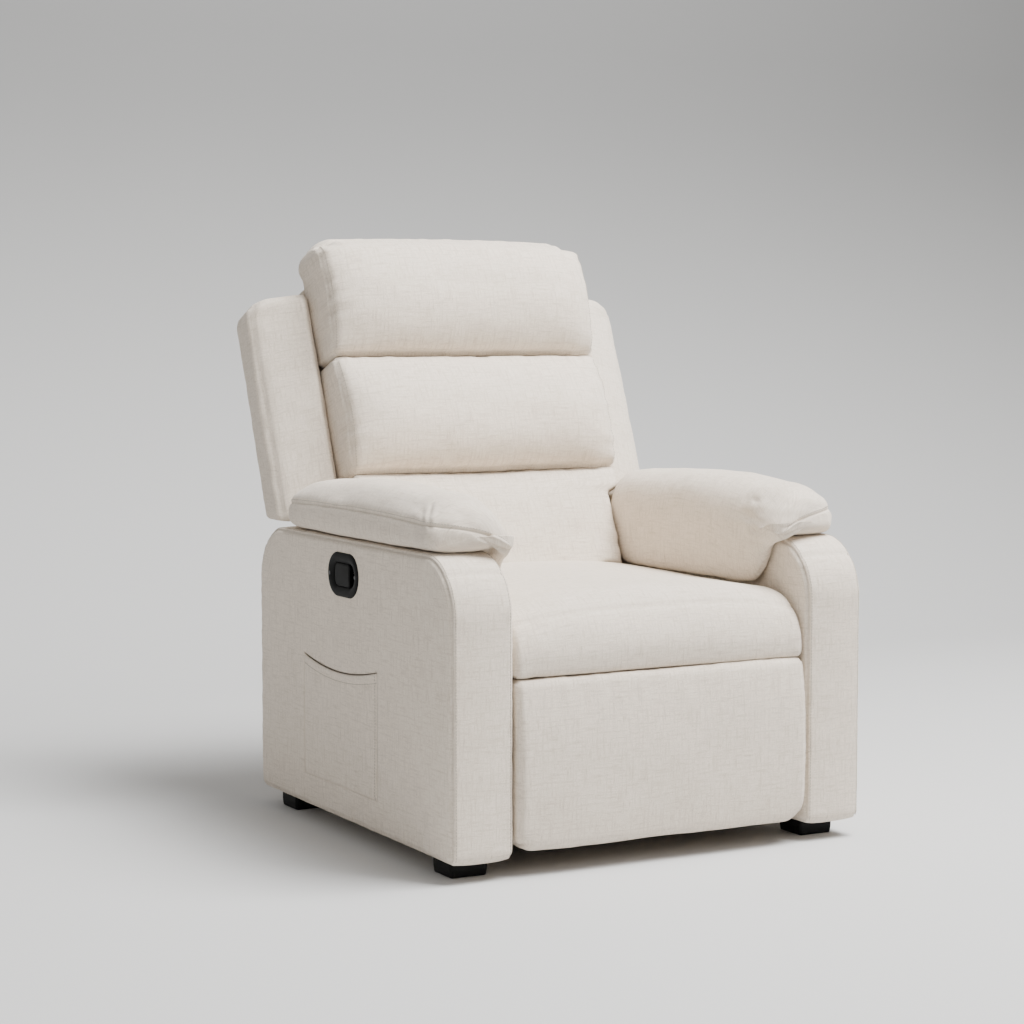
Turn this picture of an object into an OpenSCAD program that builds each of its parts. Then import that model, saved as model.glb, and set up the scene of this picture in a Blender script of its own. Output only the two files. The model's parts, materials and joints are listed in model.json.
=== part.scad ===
// Recliner armchair with a glider seat, a leaning back, a fold-out footrest and a pull lever.
// Millimetres. +X is the sitter's left, the chair faces -Y, +Z is up, the floor is z = 0.
// The handle and the side pocket are in the sitter's right arm, on the -X side.

/* [Overall] */
// width over both arms
width = 800; // [640:1:960]
// thickness of one arm
arm_t = 116; // [90:1:150]
// front face of the arms, along Y
front_y = -450; // [-520:1:-380]
// rear face of the arms, along Y
rear_y = 328; // [260:1:400]
// underside of the upholstery above the floor
under_z = 31; // [20:1:60]
// top of the arm under its pad
arm_top_z = 522; // [460:1:580]
// radius of the arm's front and rear top corners
arm_round = 100; // [50:1:130]

/* [Upholstery] */
// thickness of the padded cover round an arm's frame
skin = 14; // [8:1:20]
// top of the arm pad
pad_top_z = 622; // [580:1:660]
// inner face of the pad's drape, from the middle of the chair
drape_x = 258; // [240:1:270]
// lower edge of the drape
drape_z = 436; // [400:1:480]
// half width of the seat cushion and footrest
seat_half = 282; // [240:1:283]
// underside of the seat cushion
seat_low_z = 321.5; // [300:0.5:340]
// top of the seat cushion along the middle
seat_top_z = 446; // [420:1:470]
// half width of the three back cushions
cushion_half = 278; // [230:1:280]

/* [Back] */
// lean of the back from upright, degrees
lean = 21.5; // [10:0.5:30]
// back pivot, along Y
pivot_y = 190; // [160:1:220]
// back pivot, height
pivot_z = 300; // [280:1:320]
// rear face of the back behind the pivot line
rear_v = 23; // [15:1:40]
// top of the wings along the back
wing_top = 660; // [600:1:700]
// top of the head cushion along the back
head_top = 759; // [700:1:800]
// seam between lower and middle cushions, along the back
seam_low = 290; // [250:1:330]
// seam between middle and head cushions, along the back
seam_high = 520; // [480:1:560]

/* [Mechanism] */
// length of a swing link between pivots
swing_len = 110; // [90:1:140]
// tilt of the swing links at rest, degrees
swing_tilt = 8; // [4:0.5:12]
// running clearance of a pivot, radial
run = 0.06; // [0.02:0.01:0.1]
// pivot rivet radius
rivet_r = 5; // [3:0.5:6]
// half width of a link
link_half = 11; // [9:0.5:14]
// thickness of a link
link_t = 4; // [3:0.5:5]

/* [Hidden] */
$fn = 64;
half = width / 2;
arm_in = half - arm_t;
// planes of the mechanism, as the distance of each plate's inner face from the middle
plate_x = 281;   // base plate, 3 mm thick, against the arm
swing_x = 275;   // swing links
side_x = 266;    // seat side plate
link_a_x = 260;  // rear footrest link
link_b_x = 254;  // front footrest link
guide_x = 248;   // guide link and footrest bracket
bracket_back_x = 256; // bracket that carries the back
// pivots in the Y-Z plane
swing_base = [[-200, 150], [100, 150]];
swing_top = [for (p = swing_base) p + swing_len * [sin(swing_tilt), cos(swing_tilt)]];
link_a_pivot = [-300, 288];
knee = [-308.193, 120.2];
panel_pivot = [-382, 240];
guide_pivot = [-262, 272];
b_ext = 26;
b_dir = (panel_pivot - knee) / norm(panel_pivot - knee);
b_tail = knee - b_ext * b_dir;
guide_hole = 10.2;
guide_ratio = 0.93015;
// how far the footrest's rear links swing up, degrees
footrest_swing = 93.2;
pawl_pivot = [-120, 140];
// handle cup: centre in Y and Z, outer length and height
cup = [-47.5, 460];
cup_len = 125;
cup_h = 77;
mouth_len = 85;
mouth_h = 51;
lever_pin_y = -20;
lever_pin_x = -391;
// side pocket: front edge, rear edge, bottom, lowest point of the mouth
pocket = [-180, 123, 90, 289];
mouth_r = 680;
mouth_y = -25;
foot_size = [68, 66, 31];
foot_at = [[half - 24 - 34, -369], [half - 24 - 34, 253]];

// ---------- helpers ----------
function unit(v) = v / norm(v);
function xy(p) = [p[0], p[1]];
// tangent points and centre of a rounded corner b between its neighbours a and c
function corner_half(a, b, c) = acos(unit(xy(a) - xy(b)) * unit(xy(c) - xy(b))) / 2;
function corner_pts(a, b, c) =
    b[2] == 0 ? [xy(b)] :
    let (t = b[2] / tan(corner_half(a, b, c)))
    [xy(b) + t * unit(xy(a) - xy(b)), xy(b) + t * unit(xy(c) - xy(b))];
function corner_mid(a, b, c) =
    xy(b) + b[2] / sin(corner_half(a, b, c))
        * unit(unit(xy(a) - xy(b)) + unit(xy(c) - xy(b)));
function at(p, i) = p[(i + len(p)) % len(p)];

// convex outline with a true arc at each corner; points are [x, y, radius]
module rounded(p) {
    polygon([for (i = [0:len(p) - 1]) each corner_pts(at(p, i - 1), p[i], at(p, i + 1))]);
    for (i = [0:len(p) - 1]) if (p[i][2] > 0) {
        t = corner_pts(at(p, i - 1), p[i], at(p, i + 1));
        chord = (t[0] + t[1]) / 2;
        intersection() {
            translate(corner_mid(at(p, i - 1), p[i], at(p, i + 1))) circle(p[i][2]);
            polygon([t[0], xy(p[i]), t[1], chord + unit(chord - xy(p[i])) * 0.5]);
        }
    }
}
module box2(x0, x1, y0, y1, r) { rounded([[x0, y0, r], [x1, y0, r], [x1, y1, r], [x0, y1, r]]); }
// straight slot with round ends between two points
module slot2(a, b, r) {
    d = unit(b - a);
    s = r * [-d[1], d[0]];
    polygon([a + s, a - s, b - s, b + s]);
    translate(a) circle(r);
    translate(b) circle(r);
}
// a Y-Z outline pushed along X, and an X-Z outline pushed along Y
module along_x(x, t) { translate([x, 0, 0]) rotate([90, 0, 90]) linear_extrude(t) children(); }
module along_y(y, t) { translate([0, y + t, 0]) rotate([90, 0, 0]) linear_extrude(t) children(); }
module both() { children(); mirror([1, 0, 0]) children(); }
module right() { mirror([1, 0, 0]) children(); }
module bar_x(x0, x1, p, r) { translate([x0, p[0], p[1]]) rotate([0, 90, 0]) cylinder(r = r, h = x1 - x0); }
// the back's own frame: x, v rearward, u up along the back, from its pivot
module on_back() { translate([0, pivot_y, pivot_z]) rotate([-lean, 0, 0]) children(); }

// tube swept along a path of points, closed at both ends
function frame_at(path, i) =
    let (n = len(path) - 1, t = unit(path[min(i + 1, n)] - path[max(i - 1, 0)]),
         up = abs(t[2]) > 0.9 ? [0, 1, 0] : [0, 0, 1], s = unit(cross(t, up)))
    [s, cross(s, t)];
module sweep(path, r, sides = 8) {
    n = len(path);
    pts = [for (i = [0:n - 1], k = [0:sides - 1])
        let (f = frame_at(path, i), a = 360 * k / sides)
        path[i] + r * (cos(a) * f[0] + sin(a) * f[1])];
    walls = [for (i = [0:n - 2], k = [0:sides - 1])
        let (j = (k + 1) % sides, a = i * sides)
        each [[a + k, a + j, a + sides + k], [a + j, a + sides + j, a + sides + k]]];
    polyhedron(pts, concat([[for (k = [sides - 1:-1:0]) k]],
        [[for (k = [0:sides - 1]) (n - 1) * sides + k]], walls));
}
// helix along X or Z with its axis through p
function helix(p, r, pitch, turns, lie) = [for (i = [0:turns * 10])
    let (a = 36 * i, h = pitch * i / 10)
    lie ? p + [r * cos(a), h, r * sin(a)] : p + [r * cos(a), r * sin(a), h]];
// smooth path through hand-set points
function bend(p, i, t) =
    let (a = p[max(i - 1, 0)], b = p[i], c = p[i + 1], d = p[min(i + 2, len(p) - 1)])
    0.5 * (2 * b + (c - a) * t + (2 * a - 5 * b + 4 * c - d) * t * t
        + (3 * b - a - 3 * c + d) * t * t * t);
function smooth(p, steps) = concat([for (i = [0:len(p) - 2], k = [0:steps - 1]) bend(p, i, k / steps)],
    [p[len(p) - 1]]);

// ---------- arms ----------
module arm_outline(inset, low, low_r) {
    r = arm_round - inset;
    rounded([[front_y + inset, low, low_r], [rear_y - inset, low, low_r],
             [rear_y - inset, arm_top_z - inset, r], [front_y + inset, arm_top_z - inset, r]]);
}
frame_gap = skin + 0.5;
frame_rail = 42;
module arm_cover() {
    difference() {
        along_x(arm_in, arm_t) arm_outline(0, under_z, 16);
        along_x(arm_in + skin, arm_t - 2 * skin) arm_outline(skin, under_z - 5, 0);
        for (p = plate_bolt_at) bar_x(arm_in - 1, arm_in + skin + 1, p, 4.2);
        for (p = rail_bolt_at) bar_x(arm_in - 1, arm_in + skin + 1, p, 4.2);
    }
}
module arm_frame() {
    difference() {
        along_x(arm_in + frame_gap, arm_t - 2 * frame_gap) arm_outline(frame_gap, 36, 0);
        along_x(arm_in, arm_t)
            box2(front_y + frame_gap + frame_rail, rear_y - frame_gap - frame_rail,
                 36 + frame_rail, arm_top_z - frame_gap - frame_rail, 30);
        for (p = plate_bolt_at) bar_x(arm_in, arm_in + skin + 45, p, 4);
        for (p = rail_bolt_at) bar_x(arm_in, arm_in + skin + 45, p, 4);
        for (p = foot_at) translate([p[0], p[1], 30]) cylinder(r = 4.2, h = 40);
    }
}
module cup_outline(l, h) { slot2([cup[0] - (l - h) / 2, cup[1]], [cup[0] + (l - h) / 2, cup[1]], h / 2); }
module mouth_cut(lift) { translate([mouth_y, pocket[3] + lift + mouth_r]) circle(mouth_r, $fn = 180); }
module arm_cover_right() color("linen") difference() {
    right() arm_cover();
    along_x(-half - 1, skin + 2) cup_outline(cup_len - 22, cup_h - 22);
    for (s = [-1, 1]) bar_x(-half - 1, -half + skin + 1, [cup[0] + s * 52, cup[1]], 2);
    // slack pocket: a shallow recess behind its sheet, open above the sheet's edge
    along_x(-half - 1, 10) difference() {
        box2(pocket[0], pocket[1], pocket[2], pocket[3] + 40, 3);
        mouth_cut(8);
    }
    bar_x(-arm_in - skin - 1, -arm_in + 1, cable_exit, 5.5);
}
module arm_cover_left() color("linen") arm_cover();
module arm_frame_right() color("burlywood") difference() {
    right() arm_frame();
    along_x(-half, skin + 26) cup_outline(cup_len - 16, cup_h - 16);
    for (s = [-1, 1]) bar_x(-half, -half + 60, [cup[0] + s * 52, cup[1]], 1.5);
}
module arm_frame_left() color("burlywood") arm_frame();
module arm_pad() {
    intersection() {
        along_y(front_y, rear_y - front_y) union() {
            rounded([[drape_x, 524, 6], [half - 2, 524, 16], [half + 3, 570, 30],
                     [half - 4, pad_top_z - 8, 34], [330, pad_top_z + 2, 120], [drape_x, pad_top_z - 12, 44]]);
            rounded([[drape_x, drape_z, 12], [arm_in - 0.5, drape_z, 6], [arm_in - 0.5, 600, 6],
                     [drape_x, 590, 6]]);
        }
        along_x(drape_x - 10, 180) union() {
            rounded([[-392, 523, 14], [228, 523, 10], [230, pad_top_z - 14, 34],
                     [-60, pad_top_z + 6, 400], [-310, pad_top_z - 4, 90], [-398, pad_top_z - 60, 24]]);
            rounded([[-308, drape_z - 1, 26], [128, drape_z - 1, 20], [128, 600, 0], [-308, 600, 0]]);
        }
        linear_extrude(700) polygon([[drape_x - 2, -400], [300, -400], [half + 10, -348], [half + 10, 230],
            [half, 228], [290, 192], [arm_in - 0.4, 150], [arm_in - 0.4, 128], [drape_x - 2, 128]]);
    }
}
module arm_pad_right() color("ivory") right() arm_pad();
module arm_pad_left() color("ivory") arm_pad();
module pocket_sheet() color("linen") along_x(-half, 2) difference() {
    box2(pocket[0] + 0.5, pocket[1] - 0.5, pocket[2] + 0.5, pocket[3] + 40, 2);
    mouth_cut(0);
}

// ---------- base ----------
rail_bolt_at = [[-340, 54], [270, 56]];
plate_bolt_at = [[-300, 60], [-100, 60], [60, 60], [200, 60]];
cable_exit = [-90, 150];
module front_rail() color("burlywood") difference() {
    along_x(-arm_in + 0.2, 2 * arm_in - 0.4) box2(-362, -322, 36, 72, 4);
    both() bar_x(arm_in - 30, arm_in, rail_bolt_at[0], 4);
}
module rear_rail() color("burlywood") difference() {
    along_x(-arm_in + 0.2, 2 * arm_in - 0.4) box2(250, 296, 36, 78, 4);
    both() bar_x(arm_in - 30, arm_in, rail_bolt_at[1], 4);
}
module rear_panel() color("linen") along_x(-arm_in + 1, 2 * arm_in - 2) box2(298, 322, 33, 296, 8);
module rail_bolts() color("silver") both() for (p = rail_bolt_at) bar_x(arm_in - 29, arm_in + 54, p, 3.9);
module dust_covers() color("dimgray") both() difference() {
    translate([arm_in + skin + 0.5, front_y + skin + 6, 32.5])
        cube([arm_t - 2 * skin - 1, rear_y - front_y - 2 * skin - 12, 1.5]);
    for (p = foot_at) translate([p[0], p[1], 30]) cylinder(r = 4.4, h = 10);
}
module feet() color("black") both() for (p = foot_at) translate([p[0], p[1], 0]) difference() {
    intersection() {
        linear_extrude(foot_size[2] + 1.3) box2(-34, 34, -33, 33, 5);
        along_y(-40, 80) rounded([[-31, 0, 2], [31, 0, 2], [34, 12, 0], [34, 40, 0], [-34, 40, 0], [-34, 12, 0]]);
    }
    translate([0, 0, -1]) cylinder(r = 4.2, h = 40);
    translate([0, 0, -1]) cylinder(r = 9, h = 13);
}
module foot_bolts() color("silver") both() for (p = foot_at) translate([p[0], p[1], 6]) {
    cylinder(r = 7.5, h = 6);
    cylinder(r = 3.9, h = 60);
}

// ---------- handle ----------
module handle_cup() color("black") difference() {
    union() {
        along_x(-half - 2.5, 2.4) cup_outline(cup_len - 6, cup_h - 6);
        along_x(-half - 1.5, 1.4) cup_outline(cup_len, cup_h);
        along_x(-half - 0.5, 24) cup_outline(mouth_len + 7, mouth_h + 3);
    }
    along_x(-half - 5, 24.5) cup_outline(mouth_len, mouth_h - 3);
    along_x(-half - 5, 40) box2(lever_pin_y - 22, lever_pin_y + 5, cup[1] - 6, cup[1] + 6, 2);
    translate([lever_pin_x, lever_pin_y, cup[1] - 30]) cylinder(r = 2, h = 60);
    for (s = [-1, 1]) bar_x(-half - 5, -half + 3, [cup[0] + s * 52, cup[1]], 2);
}
module cup_screws() color("dimgray") for (s = [-1, 1]) {
    bar_x(-half - 3.4, -half - 2.5, [cup[0] + s * 52, cup[1]], 3.4);
    bar_x(-half - 2.6, -half + 26, [cup[0] + s * 52, cup[1]], 1.4);
}
module lever_pin() color("silver")
    translate([lever_pin_x, lever_pin_y, cup[1] - 25]) cylinder(r = 1.94, h = 50);
module lever_spring() color("silver")
    sweep(helix([lever_pin_x, lever_pin_y, cup[1] - 19.6], 3.2, 1.3, 2, false), 0.4, 6);
module pull_lever() color("black") difference() {
    union() {
        along_x(-half - 1.5, 4.5) intersection() {
            slot2([-60, cup[1]], [-33, cup[1]], 20.5);
            translate([-76, cup[1] - 30]) square([60, 60]);
        }
        translate([lever_pin_x, lever_pin_y, cup[1] - 16]) cylinder(r = 4.6, h = 32);
        translate([-half + 0.5, lever_pin_y - 4.6, cup[1] - 16]) cube([8.5, 7, 32]);
        translate([lever_pin_x, lever_pin_y - 2.5, cup[1] - 4]) cube([26, 5, 8]);
    }
    translate([lever_pin_x, lever_pin_y, cup[1] - 30]) cylinder(r = 2, h = 60);
}
cable_route = [[-362, -20, 452], [-352, -22, 430], [-345, -40, 400], [-345, -75, 330],
    [-340, -90, 250], [-325, -90, 180], [-305, -90, 152], [-291, -90, 150], [-281.5, -90, 150]];
module release_cable() color("dimgray") sweep(smooth(cable_route, 6), 3, 10);
module release_pawl() color("silver") difference() {
    along_x(-swing_x - link_t, link_t) union() {
        slot2(pawl_pivot, [-174, 180], 7);
        slot2(pawl_pivot, [-92, 132], 6);
    }
    bar_x(-300, -260, pawl_pivot, 4 + run);
}
module pawl_pin() color("silver") {
    bar_x(-plate_x, -swing_x + 0.4, pawl_pivot, 4);
    bar_x(-swing_x + 0.3, -swing_x + 2.3, pawl_pivot, 7);
}
module pawl_spring() color("silver") sweep(helix([-277, -80, 132], 3, 4.5, 7, true), 0.6, 6);

// ---------- glide mechanism ----------
module base_plate() {
    difference() {
        union() {
            along_x(plate_x, 3) rounded([[-318, 46, 12], [230, 46, 12], [230, 76, 12], [130, 178, 26],
                                         [-225, 178, 26], [-318, 82, 12]]);
        }
        for (p = plate_bolt_at) bar_x(plate_x - 1, plate_x + 5, p, 4.2);
        for (p = swing_base) bar_x(plate_x - 1, plate_x + 5, p, rivet_r);
    }
}
module base_plate_right() color("slategray") difference() {
    right() base_plate();
    bar_x(-plate_x - 5, -plate_x + 1, cable_exit, 4.5);
}
module base_plate_left() color("slategray") base_plate();
module plate_bolts() color("silver") both() for (p = plate_bolt_at) {
    bar_x(plate_x - 3, plate_x, p, 7);
    bar_x(plate_x - 1, plate_x + 50, p, 3.9);
}
module base_rivets() color("silver") both() for (p = swing_base) {
    bar_x(swing_x - 0.3, plate_x + 2.9, p, rivet_r);
    bar_x(swing_x - 2.5, swing_x - 0.3, p, rivet_r + 3);
}
module swing_pair(i) {
    both() difference() {
        union() {
            along_x(swing_x, link_t) slot2(swing_base[i], swing_top[i], link_half + 2);
            bar_x(swing_x - 4, swing_x + 1, tube_at(i), 14);
        }
        bar_x(swing_x - 9, swing_x + 9, swing_base[i], rivet_r + run);
        bar_x(swing_x - 9, swing_x + 9, swing_top[i], rivet_r + run);
    }
}
function tube_at(i) = (swing_base[i] + swing_top[i]) / 2;
module torque_tube(i) difference() {
    bar_x(-swing_x + 4, swing_x - 4, tube_at(i), 10);
    bar_x(-swing_x, swing_x, tube_at(i), 8);
}
module front_swing_links() color("slategray") swing_pair(0);
module rear_swing_links() color("slategray") swing_pair(1);
module front_torque_tube() color("slategray") torque_tube(0);
module rear_torque_tube() color("slategray") torque_tube(1);

// ---------- seat ----------
module side_plate() difference() {
    along_x(side_x, link_t) rounded([[-345, 262, 8], [-300, 238, 16], [185, 238, 16], [217, 275, 14],
                                     [217, 321, 15], [-345, 316, 6]]);
    for (p = swing_top) bar_x(side_x - 1, side_x + 9, p, rivet_r);
    bar_x(side_x - 1, side_x + 9, link_a_pivot, rivet_r);
    bar_x(side_x - 1, side_x + 9, guide_pivot, rivet_r);
    bar_x(side_x - 1, side_x + 9, [pivot_y, pivot_z], 7);
    for (y = [-30, 30]) bar_x(side_x - 1, side_x + 9, [y, 303], 3);
}
module side_plate_right() color("slategray") right() side_plate();
module side_plate_left() color("slategray") side_plate();
module swing_rivets() color("silver") both() for (p = swing_top) {
    bar_x(side_x, swing_x + link_t + 0.3, p, rivet_r);
    bar_x(swing_x + link_t + 0.3, swing_x + link_t + 2.3, p, rivet_r + 3);
}
module link_rivets() color("silver") both() {
    bar_x(link_a_x - 0.3, side_x + link_t, link_a_pivot, rivet_r);
    bar_x(link_a_x - 2, link_a_x - 0.3, link_a_pivot, rivet_r + 3);
    bar_x(guide_x - 0.3, side_x + link_t, guide_pivot, rivet_r);
    bar_x(guide_x - 2, guide_x - 0.3, guide_pivot, rivet_r + 3);
}
module seat_frame() color("burlywood") difference() {
    union() {
        translate([-243, -372, 288]) cube([486, 36, 28]);
        translate([-243, 5, 288]) cube([486, 36, 28]);
        for (s = [-1, 1]) translate([s * 224 - 19, -372, 288]) cube([38, 413, 28]);
        both() translate([240, -42, 290]) cube([side_x - 240, 83, 26]);
    }
    for (s = [-1, 1], y = [-30, 30]) bar_x(s * 250 - 20, s * 250 + 20, [y, 303], 2.5);
}
module seat_bolts() color("silver") both() for (y = [-30, 30]) {
    bar_x(244, side_x + link_t, [y, 303], 2.45);
    bar_x(side_x + link_t, side_x + link_t + 2.6, [y, 303], 5);
}
spring_x = [-150, -50, 50, 150];
function zigzag(x) = [for (i = [0:28]) [x + 20 * sin(90 * i), -350 + 373 * i / 28, 318.2]];
module seat_springs() color("silver") for (x = spring_x) sweep(smooth(zigzag(x), 2), 1.7, 6);
module seat_cushion() color("ivory") intersection() {
    along_x(-seat_half, 2 * seat_half)
        rounded([[-446, seat_low_z, 8], [47, seat_low_z, 6], [90, seat_top_z, 16], [-446, seat_top_z, 104]]);
    along_y(-500, 700)
        rounded([[-seat_half, seat_low_z, 3], [seat_half, seat_low_z, 3], [seat_half, 424, 26],
                 [150, seat_top_z, 200], [-150, seat_top_z, 200], [-seat_half, 424, 26]]);
}

// ---------- footrest ----------
tube_a = link_a_pivot + 100 * unit(knee - link_a_pivot);
module footrest_links_a() color("slategray") both() difference() {
    union() {
        along_x(link_a_x, link_t) slot2(link_a_pivot, knee, link_half);
        bar_x(link_a_x - 4, link_a_x + 1, tube_a, 11);
    }
    bar_x(link_a_x - 9, link_a_x + 9, link_a_pivot, rivet_r + run);
    bar_x(link_a_x - 9, link_a_x + 9, knee, rivet_r);
}
module footrest_cross_tube() color("slategray") difference() {
    bar_x(-link_a_x + 4, link_a_x - 4, tube_a, 8);
    bar_x(-link_a_x, link_a_x, tube_a, 6.5);
}
module knee_rivets() color("silver") both() {
    bar_x(link_b_x - 0.3, link_a_x + link_t, knee, rivet_r);
    bar_x(link_b_x - 2, link_b_x - 0.3, knee, rivet_r + 3);
}
module footrest_links_b() color("slategray") both() {
    difference() {
        along_x(link_b_x, link_t) slot2(b_tail, panel_pivot, link_half - 0.5);
        bar_x(link_b_x - 9, link_b_x + 9, knee, rivet_r + run);
        bar_x(link_b_x - 9, link_b_x + 9, panel_pivot, rivet_r + run);
    }
    bar_x(guide_x - 0.8, link_b_x + 1, b_tail, 3.5);
    bar_x(guide_x - 2.8, guide_x - 0.8, b_tail, 12);
}
function turn(p, centre, a) = centre + [(p - centre) * [cos(a), -sin(a)], (p - centre) * [sin(a), cos(a)]];
// the cross tube as the guide link meets it, with the rear links swung up by a
function tube_met(a) = turn(turn(tube_a, link_a_pivot, -a), guide_pivot, guide_ratio * a);
// the cross tube comes to rest in this notch
notch_at = [for (a = [66, 80, footrest_swing]) tube_met(a)];
module footrest_guides() color("slategray") both() difference() {
    along_x(guide_x, link_t) difference() {
        union() {
            slot2(guide_pivot, b_tail, 9);
            translate(b_tail) circle(15);
            translate(guide_pivot) circle(11);
        }
        for (i = [0, 1]) slot2(notch_at[i], notch_at[i + 1], 8.6);
    }
    bar_x(guide_x - 9, guide_x + 9, guide_pivot, rivet_r + run);
    bar_x(guide_x - 9, guide_x + 9, b_tail, guide_hole);
}
module footrest_brackets() color("slategray") both() {
    difference() {
        union() {
            along_x(guide_x, link_t) rounded([[-399, 170, 3], [-388, 170, 6], [-370, 230, 10],
                                              [-370, 252, 10], [-388, 300, 6], [-399, 300, 3]]);
            translate([guide_x - 24, -399, 170]) cube([25, 3, 130]);
        }
        for (z = [185, 285]) translate([guide_x - 14, -395, z]) rotate([90, 0, 0]) cylinder(r = 2.6, h = 6);
    }
    bar_x(guide_x + 2, link_b_x + link_t + 0.3, panel_pivot, rivet_r);
    bar_x(link_b_x + link_t + 0.3, link_b_x + link_t + 2, panel_pivot, rivet_r + 2.5);
}
module footrest_board() color("burlywood") difference() {
    translate([-266, -411, 50]) cube([532, 12, 256]);
    both() for (z = [185, 285]) translate([guide_x - 14, -395, z]) rotate([90, 0, 0]) cylinder(r = 2, h = 14);
}
module board_screws() color("silver") both() for (z = [185, 285]) {
    translate([guide_x - 14, -396, z]) rotate([90, 0, 0]) cylinder(r = 1.95, h = 12);
    translate([guide_x - 14, -393.5, z]) rotate([90, 0, 0]) cylinder(r = 4.5, h = 2.5);
}
module footrest_pad() color("ivory") difference() {
    intersection() {
        along_x(-seat_half, 2 * seat_half)
            rounded([[-396, 38, 4], [-396, 319, 4], [-445, 319, 10], [-463, 230, 240], [-460, 110, 240],
                     [-440, 38, 22]]);
        along_y(-500, 200) rounded([[-seat_half, 38, 34], [seat_half, 38, 34], [seat_half, 319, 4],
                                    [-seat_half, 319, 4]]);
    }
    translate([-266.5, -411.5, 49.5]) cube([533, 40, 257]);
}

// ---------- back ----------
stile = [215, 250];
module back_frame() color("burlywood") difference() {
    on_back() union() {
        for (s = [-1, 1]) translate([s * 232.5 - 17.5, -50, -20]) cube([35, 57, 690]);
        for (u = [30, 270, 500, 632]) translate([-233, -50, u]) cube([466, 36, 38]);
    }
    for (s = [-1, 1]) bar_x(s * 250 - 12, s * 250 + 12, [pivot_y, pivot_z], 9);
    on_back() both() for (p = bracket_screw_at) bar_x(230, 260, p, 3);
}
bracket_screw_at = [[-20, 60], [-20, 150]];
module back_webbing() color("tan") on_back() for (u = [110, 190, 345, 425, 570])
    translate([-246, -52, u]) cube([492, 1.8, 50]);
module back_bracket() difference() {
    on_back() along_x(bracket_back_x - 5.5, 5) rounded([[-38, -22, 12], [14, -22, 12], [14, 12, 5],
                                                      [5, 28, 0], [5, 175, 6], [-35, 175, 6]]);
    bar_x(240, 270, [pivot_y, pivot_z], 7 + run);
    on_back() for (p = bracket_screw_at) bar_x(240, 270, p, 3);
}
module back_brackets() color("slategray") {
    both() back_bracket();
    on_back() both() for (p = bracket_screw_at) {
        bar_x(232, 252, p, 2.95);
        bar_x(255.5, 258, p, 6);
    }
}
module back_pivots() color("silver") both() {
    bar_x(244, side_x + link_t, [pivot_y, pivot_z], 7);
    bar_x(bracket_back_x, side_x, [pivot_y, pivot_z], 11);
}
module outside_back() color("linen") on_back() union() {
    along_x(-cushion_half, 2 * cushion_half) box2(7.5, rear_v, 40, 684, 6);
    along_x(-240, 480) box2(7.5, rear_v, -40, 60, 6);
    along_x(-cushion_half, 2 * cushion_half) rounded([[-46, 670.5, 3], [rear_v, 670.5, 0],
                                                      [rear_v, 684, 10], [-46, 690, 6]]);
}
module wing() intersection() {
    on_back() union() {
        translate([0, 0, 200]) linear_extrude(500) {
            rounded([[279, -40, 4], [300, -92, 16], [half - 10, -46, 22], [half - 10, rear_v, 18],
                     [279, rear_v, 4]]);
            translate([250.5, -42]) square([34, 48]);
        }
    }
    on_back() along_y(-200, 300) rounded([[240, 150, 0], [half - 10, 150, 0], [half - 10, wing_top, 46],
                                          [240, wing_top + 4, 12]]);
    // clear of the arm's rear top below and of the arm pad's rear end in front
    along_x(200, 300) polygon([[236, 529], [700, 529], [700, 1129], [0, 1129], [0, 765]]);
}
module wing_right() color("linen") right() wing();
module wing_left() color("linen") wing();
// pillow between two lines across the back, fullest at `full`
module pillow(u0, u1, seam, full, r, back = -52.5) on_back() intersection() {
    along_x(-cushion_half, 2 * cushion_half)
        rounded([[back, u0, 4], [back, u1, 4], [seam, u1, r], [full, (u0 + u1) / 2 + 24, 50],
                 [full + 4, (u0 + u1) / 2 - 26, 50], [seam, u0, r]]);
    translate([0, 0, u0 - 5]) linear_extrude(u1 - u0 + 10)
        rounded([[-cushion_half, back + 1, 2], [-cushion_half, seam - 6, 20], [-110, full - 3, 180],
                 [110, full - 3, 180], [cushion_half, seam - 6, 20], [cushion_half, back + 1, 2]]);
}
module head_cushion() color("ivory") difference() {
    pillow(seam_high + 0.5, head_top, -136, -190, 34);
    on_back() along_x(-half, width) polygon([[-70, head_top + 5], [-40, head_top + 5], [-40, head_top - 30]]);
}
module middle_cushion() color("ivory") pillow(seam_low + 0.5, seam_high - 0.5, -132, -184, 26);
module lower_cushion() color("ivory") difference() {
    pillow(0, seam_low - 0.5, -130, -166, 26);
    // narrower between the drapes of the arm pads
    on_back() both() translate([250.5, -300, -60]) cube([60, 400, 312]);
    // room for the rear end of the seat cushion
    along_x(-half, width) polygon([[-50, 290], [41, 290], [95, 434], [84, 450], [-50, 450]]);
}

arm_frame_right();
arm_frame_left();
arm_cover_right();
arm_cover_left();
arm_pad_right();
arm_pad_left();
pocket_sheet();
front_rail();
rear_rail();
rear_panel();
rail_bolts();
dust_covers();
feet();
foot_bolts();
handle_cup();
cup_screws();
lever_pin();
lever_spring();
pull_lever();
release_cable();
release_pawl();
pawl_pin();
pawl_spring();
base_plate_right();
base_plate_left();
plate_bolts();
base_rivets();
front_swing_links();
front_torque_tube();
rear_swing_links();
rear_torque_tube();
side_plate_right();
side_plate_left();
swing_rivets();
link_rivets();
seat_frame();
seat_bolts();
seat_springs();
seat_cushion();
footrest_links_a();
footrest_cross_tube();
knee_rivets();
footrest_links_b();
footrest_guides();
footrest_brackets();
footrest_board();
board_screws();
footrest_pad();
back_frame();
back_webbing();
back_brackets();
back_pivots();
outside_back();
wing_right();
wing_left();
head_cushion();
middle_cushion();
lower_cushion();
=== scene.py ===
"""Recliner armchair: linen-covered arms, pads, cushions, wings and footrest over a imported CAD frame."""
import json
import math

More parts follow.
